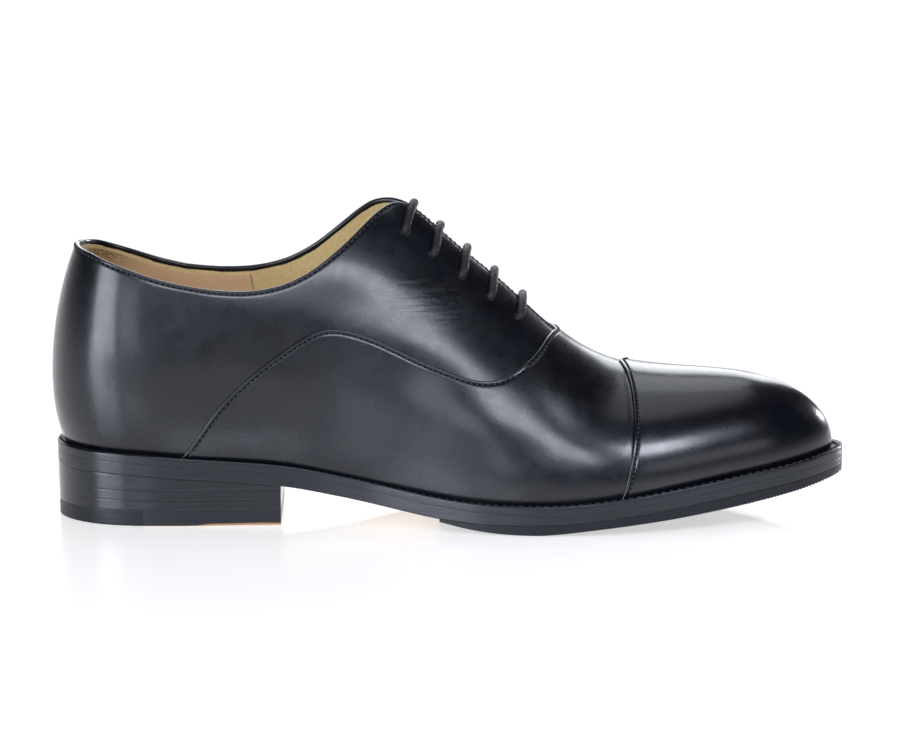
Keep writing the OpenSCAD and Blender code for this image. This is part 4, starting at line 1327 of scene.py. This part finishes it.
# Heights up a rib: foot of the lining, its gap above the seam, its trim below the topline and
# the facings, unevenness of the cut, foot and trim of the heel lining.
LINING_FOOT_V = 0.03
SEAM_GAP_V = 0.012
TRIM, FACING_TRIM, UNEVEN = 0.023, 0.016, 0.0012
HEEL_LINING_FOOT_V, HEEL_TRIM = 0.1, 0.035
HEEL_LINING_T, HEEL_LINING_TO = 0.7, 4.25


def uneven(a):
    """The slightly wavy cut of a hand-trimmed lining, along the topline."""
    return UNEVEN * (np.sin(a * 5.1) + 0.7 * np.sin(a * 11.7 + 1) + 0.35 * np.sin(a * 23.3 + 2))


def quarter_lining_at(side):
    def at(a, b):
        low = np.maximum(seam(a) + SEAM_GAP_V * step(3, 3.4, a), LINING_FOOT_V)
        high = topline(side_w(side, a)) - np.where(a < 7.2, TRIM + uneven(a), FACING_TRIM)
        return a + 0 * b, low + (high - low) * b
    return at


def vamp_lining_at(a, b):
    v = LINING_FOOT_V + (np.maximum(seam(a), 0.05) - LINING_FOOT_V) * b
    lean = VAMP_LEAN * (1 - step(CAP_HIGH, LAST, a)) * (1 - b)
    return a - (a - SEAM_START) * lean, v


def heel_lining_at(a, b):
    high = topline(a) - HEEL_TRIM - 0.4 * UNEVEN * np.sin(a * 31)
    return a + 0 * b, HEEL_LINING_FOOT_V + (high - HEEL_LINING_FOOT_V) * b


def make_linings():
    b = np.linspace(0, 1, 60)[None, :]
    for side, name in SIDES:
        at = quarter_lining_at(side)
        panel = one_side(side, *at(np.linspace(0.02, 9.72, 360)[:, None], b))
        points, faces = shell([panel], lining_outer, lining_inner)
        piece = make(f"quarter_lining_{name}_looks", points, faces, [LINING])
        pierce(piece, side)
        finish_piece(piece, "lining", [f"quarter_lining_{name}"], "shoe")
    panels = both_sides(vamp_lining_at, np.linspace(3.3, LAST, 260)[:, None], b)
    piece = make("vamp_lining_looks", *shell(panels, lining_outer, lining_inner), [LINING])
    finish_piece(piece, "lining", ["vamp_lining"])
    a = np.linspace(-HEEL_LINING_TO, HEEL_LINING_TO, 180)[:, None]
    points, faces = shell(
        [Panel(*heel_lining_at(a, b))], lambda p: lining_inner(p) + FREE_GAP,
        lambda p: lining_inner(p) + FREE_GAP + HEEL_LINING_T,
    )
    piece = make("heel_lining_looks", points, faces, [HEEL_LINING])
    finish_piece(piece, "heel_lining_leather", ["heel_lining"], "shoe")


TONGUE_BACK, TONGUE_FRONT = 7.3, 10
THROAT_DEPTH, LACE_DEPTH = 4.5, 7.2


def tongue_at(low):
    def at(a, b):
        v = low + (1 - low) * b
        return a - (1 - v) / 3 * (a - TONGUE_BACK), v
    return at


def tongue_depth(panel):
    return THROAT_DEPTH + (LACE_DEPTH - THROAT_DEPTH) * (1 - step(8.95, 9.75, panel.rib))


def make_tongue():
    a = close_to(TONGUE_BACK, [0, 0.01, 0.025, 0.05], np.linspace(7.4, TONGUE_FRONT, 70))
    for name, low, lift, thick, material, slot in (
        ("tongue", 0.68, 0, LEATHER_T, CALF, "calf"),
        ("tongue_lining", 0.69, LEATHER_T + GLUE, LINING_T, LINING, "lining"),
    ):
        panels = both_sides(tongue_at(low), a[:, None], np.linspace(0, 1, 40)[None, :])
        back = lambda p: round_off((p.rib - TONGUE_BACK) * TONGUE_RIB_MM, 0.5)
        points, faces = shell(
            panels,
            lambda p: tongue_depth(p) + lift + back(p),
            lambda p: tongue_depth(p) + lift + thick - 0.3 * back(p),
        )
        piece = make(f"{name}_looks", points, faces, [material])
        finish_piece(piece, slot, [name], "tongue")


def make_puff():
    def at(a, b):
        v = LINING_FOOT_V + (1 - LINING_FOOT_V) * b
        start = cap_line(v) + 0.6
        return start + (LAST - start) * a, v

    panels = both_sides(at, np.linspace(0, 1, 50)[:, None], np.linspace(0, 1, 40)[None, :])
    depth = LEATHER_T + 0.25
    shape = shell(panels, lambda p: 0 * p.w + depth, lambda p: 0 * p.w + depth + STIFFENER_T)
    finish_piece(make("toe_puff_looks", *shape, [FIBRE]), "fibreboard", ["toe_puff"])


make_linings()
make_tongue()
make_puff()

# ---- Bottom ------------------------------------------------------------------------------


def welt_top(s):
    return curve(WELT_TOP, s)


def welt_foot(s):
    return welt_top(s) - WELT_T


def leather_foot(s):
    return welt_foot(s) - OUTSOLE_T + 1.2 * step(LEDGE_START, 200, s)


# Fine cross ribs of the half sole, which come up toward the toe.
RIB_PITCH, RIB_DEEP = 1.25, 0.45
RIBS_FROM = (228, 252)


def ribbed_tread(s):
    """Underside of the half sole, with fine cross ribs toward the toe."""
    ribs = 0.5 + 0.5 * np.cos(s * 2 * math.pi / RIB_PITCH)
    return curve(TREAD, s) + RIB_DEEP * step(*RIBS_FROM, s) * ribs


def set_out(distance):
    return lambda w: np.full(np.shape(w), float(distance))


def flat(z):
    return lambda s: np.full(np.shape(s), float(z))


WHOLE = (-2, 310)


def welt_band():
    """The welt: its top falls away into the groove under the upper."""
    w = np.linspace(0, AROUND, 1100, endpoint=False)
    edge = sole_out(0)(w)
    foot = 0 * edge
    # Distance from the upper's foot, share of the welt's height, and height above that.
    profile = [
        (edge - 0.05, 0, 0), (edge - 0.01, 0.04, 0), (edge, 0.1, 0), (edge, 0.5, 0), (edge, 1, -0.5),
        (edge - 0.05, 1, -0.3), (edge - 0.17, 1, -0.12), (edge - 0.35, 1, -0.02), (edge - 0.55, 1, 0),
        (edge - 0.9, 1, -0.12), (0.25 * edge, 1, -1), (foot, 1, -1.2), (foot - 1.3, 1, -1.2),
        (foot - 1.4, 1, -0.1), (foot - 3, 1, -0.1), (foot - 3, 0, 0),
    ]
    ring = []
    for out, share, drop in profile:
        xy = foot_line(w, out)
        top, low = welt_top(xy[:, 0]), welt_foot(xy[:, 0])
        ring.append(np.concatenate([xy, (low + (top - low) * share + drop)[:, None]], 1))
    ring = np.stack(ring, 1)
    faces = ring_faces(len(w), len(profile), closed=True)[:, ::-1]
    which = np.tile([0] * 8 + [1] * 6 + [0] * 2, len(w))
    return make("welt_looks", ring.reshape(-1, 3), faces, [SOLE_EDGE, GROOVE], which, sharp=60)


def make_bottom():
    """Welt, outsole, half sole, insole, cork and the insole's rib."""
    finish_piece(welt_band(), "sole_edge", ["welt"])
    for node, slot, span, out, top, low, materials, detail in (
        ("outsole", "sole_edge", WHOLE, sole_out(0.03), welt_foot, leather_foot,
         [SOLE_EDGE, BOTTOM], dict(corner=0.05, low_corner=0.3, pitch=0.6)),
        ("half_sole", "sole_rubber", (LEDGE_START, 310), sole_out(0.1), leather_foot,
         ribbed_tread, [RUBBER], dict(corner=0.1, low_corner=0.35, across=15, pitch=0.25)),
        ("insole", "insole_leather", (0, 310), set_out(-3.9),
         lambda s: welt_top(s) + INSOLE_T - 1, lambda s: welt_top(s) - 1, [INSOLE],
         dict(corner=0.4, across=15)),
        ("cork_filler", "cork", (48, 310), set_out(-6), lambda s: welt_top(s) - 1.2,
         lambda s: welt_foot(s) + 1.6, [CORK], {}),
    ):
        piece = loft(f"{node}_looks", span, out, top, low, materials, **detail)
        finish_piece(piece, slot, [node])
    rib = band(
        "insole_rib_looks", set_out(-5.4), set_out(-3.2), lambda s: welt_top(s) - 1.1,
        lambda s: welt_foot(s) + 0.1, [CANVAS], corner=0.2,
    )
    finish_piece(rib, "canvas", ["insole_rib"])


def make_heel():
    """The stack of the heel, with a fine line between the lifts."""
    taper = 0.16
    layers = (
        ("heel_base", 2, leather_foot, (-2, HEEL_LENGTH), "heel_edge", [HEEL_EDGE]),
        ("heel_lift_upper", 1, None, (-2, HEEL_LENGTH), "heel_edge", [HEEL_EDGE]),
        ("heel_lift_lower", 0, None, (-2, HEEL_LENGTH), "heel_edge", [HEEL_EDGE]),
        ("top_piece_rubber", -1, None, (-2, RUBBER_TO), "sole_rubber", [RUBBER]),
        ("top_piece_leather", -1, None, (RUBBER_TO, HEEL_LENGTH), "bottom_leather",
         [TOP_PIECE_EDGE, BOTTOM]),
    )
    for name, level, top, span, slot, materials in layers:
        low = 0 if level < 0 else TOP_PIECE_T + level * LIFT_T
        upper = top or flat(TOP_PIECE_T + (level + 1) * LIFT_T)
        piece = loft(
            f"{name}_looks", span, sole_out(taper * (3 - level)), upper, flat(low), materials,
            corner=0.04, low_corner=0.3 if level < 0 else 0.04, pitch=0.7,
        )
        finish_piece(piece, slot, [name], "shoe")


WELT_STITCH_OUT, WELT_STITCH_DOWN = 0.5, 0.75


def make_welt_stitches():
    w = np.linspace(5, AROUND - 5, 3000)
    xy = foot_line(w, curve(EDGE_OUT, up_rib(w)) * WELT_STITCH_OUT)
    line = np.concatenate([xy, welt_top(xy[:, 0])[:, None] - WELT_STITCH_DOWN], 1)
    tilt = np.stack([welt_top(line[:, 0] - 0.5) - welt_top(line[:, 0] + 0.5), 0 * w, 1 + 0 * w], -1)
    row = stitches("welt_stitches_looks", line, unit(tilt), 3.2, 0.8, [THREAD, HOLE_SHADE], 0.8)
    finish_piece(row, "thread", ["welt_stitches"])


make_bottom()
make_heel()
make_welt_stitches()

# ---- CAD nodes that stay as they are -----------------------------------------------------

KEPT = {
    "shank": (STEEL, "steel"), "heel_nails": (STEEL, "steel"),
    "facing_stay_lateral": (CANVAS, "canvas"), "facing_stay_medial": (CANVAS, "canvas"),
    "eyelets_lateral": (EYELET, "eyelet_metal"), "eyelets_medial": (EYELET, "eyelet_metal"),
    "heel_counter": (FIBRE, "fibreboard"),
}
for NODE, (MATERIAL, SLOT) in KEPT.items():
    NODE_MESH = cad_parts[NODE].data
    NODE_MESH.materials.clear()
    NODE_MESH.materials.append(MATERIAL)

# ---- Floor and light ---------------------------------------------------------------------


def make_floor():
    """A plain pale floor with a soft gloss."""
    f = Finish("floor", Roughness=0.16, Emission_Color=(1, 1, 1, 1), Emission_Strength=0.54)
    f.set("Base Color", f.colour(f.noise(1.5, 2.0), (0.76, 0.76, 0.76), (0.79, 0.79, 0.79)))
    mesh = bpy.data.meshes.new("floor")
    far = 14
    corners = [(-far, -far, 0), (far, -far, 0), (far, far, 0), (-far, far, 0)]
    mesh.from_pydata(corners, [], [(0, 1, 2, 3)])
    mesh.materials.append(f.material)
    floor = bpy.data.objects.new("floor", mesh)
    floor.location.z = -0.0003
    bpy.context.scene.collection.objects.link(floor)


def softbox(name, azimuth, elevation, distance, width, height, radiance, aim=(0.1, 0, 0.04)):
    """A rectangular light facing the shoe. Azimuth 0 is the camera's side, 90 the toe's."""
    a, e = math.radians(azimuth), math.radians(elevation)
    direction = Vector((math.sin(a) * math.cos(e), -math.cos(a) * math.cos(e), math.sin(e)))
    data = bpy.data.lights.new(name, "AREA")
    data.shape, data.size, data.size_y = "RECTANGLE", width, height
    data.energy = radiance * math.pi * width * height
    data.color = (0.93, 0.95, 1)
    light = bpy.data.objects.new(name, data)
    light.location = Vector(aim) + direction * distance
    light.rotation_euler = direction.to_track_quat("Z", "Y").to_euler()
    light.visible_camera = False
    bpy.context.scene.collection.objects.link(light)


def make_world():
    """White near the horizon and a dim studio above."""
    world = bpy.data.worlds.new("studio")
    world.use_nodes = True
    tree = world.node_tree
    place_node = tree.nodes.new("ShaderNodeTexCoord")
    split = tree.nodes.new("ShaderNodeSeparateXYZ")
    ramp = tree.nodes.new("ShaderNodeMapRange")
    ramp.interpolation_type = "SMOOTHSTEP"
    for socket, value in (("From Min", 0.0), ("From Max", 0.22), ("To Min", 0.45), ("To Max", 0.04)):
        ramp.inputs[socket].default_value = value
    tree.links.new(place_node.outputs["Generated"], split.inputs["Vector"])
    tree.links.new(split.outputs["Z"], ramp.inputs["Value"])
    back = tree.nodes["Background"]
    back.inputs["Color"].default_value = (0.97, 0.98, 1, 1)
    tree.links.new(ramp.outputs["Result"], back.inputs["Strength"])
    bpy.context.scene.world = world


make_floor()
softbox("heel_side_light", -45, 14, 1.5, 0.76, 0.62, 8)
softbox("heel_side_low_light", -54, -1, 1.5, 0.5, 0.28, 5)
softbox("front_left_light", -18, 11, 1.5, 0.34, 0.34, 3.4)
softbox("front_light", 4, 26, 1.5, 0.46, 0.27, 12)
softbox("front_high_light", -4, 35, 1.5, 0.4, 0.26, 3)
softbox("toe_side_light", 30, 38, 0.3, 0.1, 0.06, 17, aim=(0.19, -0.04, 0.03))
softbox("toe_side_low_light", 40, 14, 1.5, 0.6, 0.3, 1.4)
softbox("back_light", 182, 26, 2.2, 1.7, 1.2, 3.8)
softbox("back_high_light", 180, 62, 1.6, 1.1, 0.7, 2.0)
softbox("top_light", 90, 84, 1.6, 1.0, 1.0, 1.2)
softbox("toe_light", 140, 13, 1.6, 0.1, 0.1, 240, aim=(0.245, -0.02, 0.03))
make_world()
bpy.context.scene.view_settings.view_transform = "Standard"

# ---- End ---------------------------------------------------------------------------------
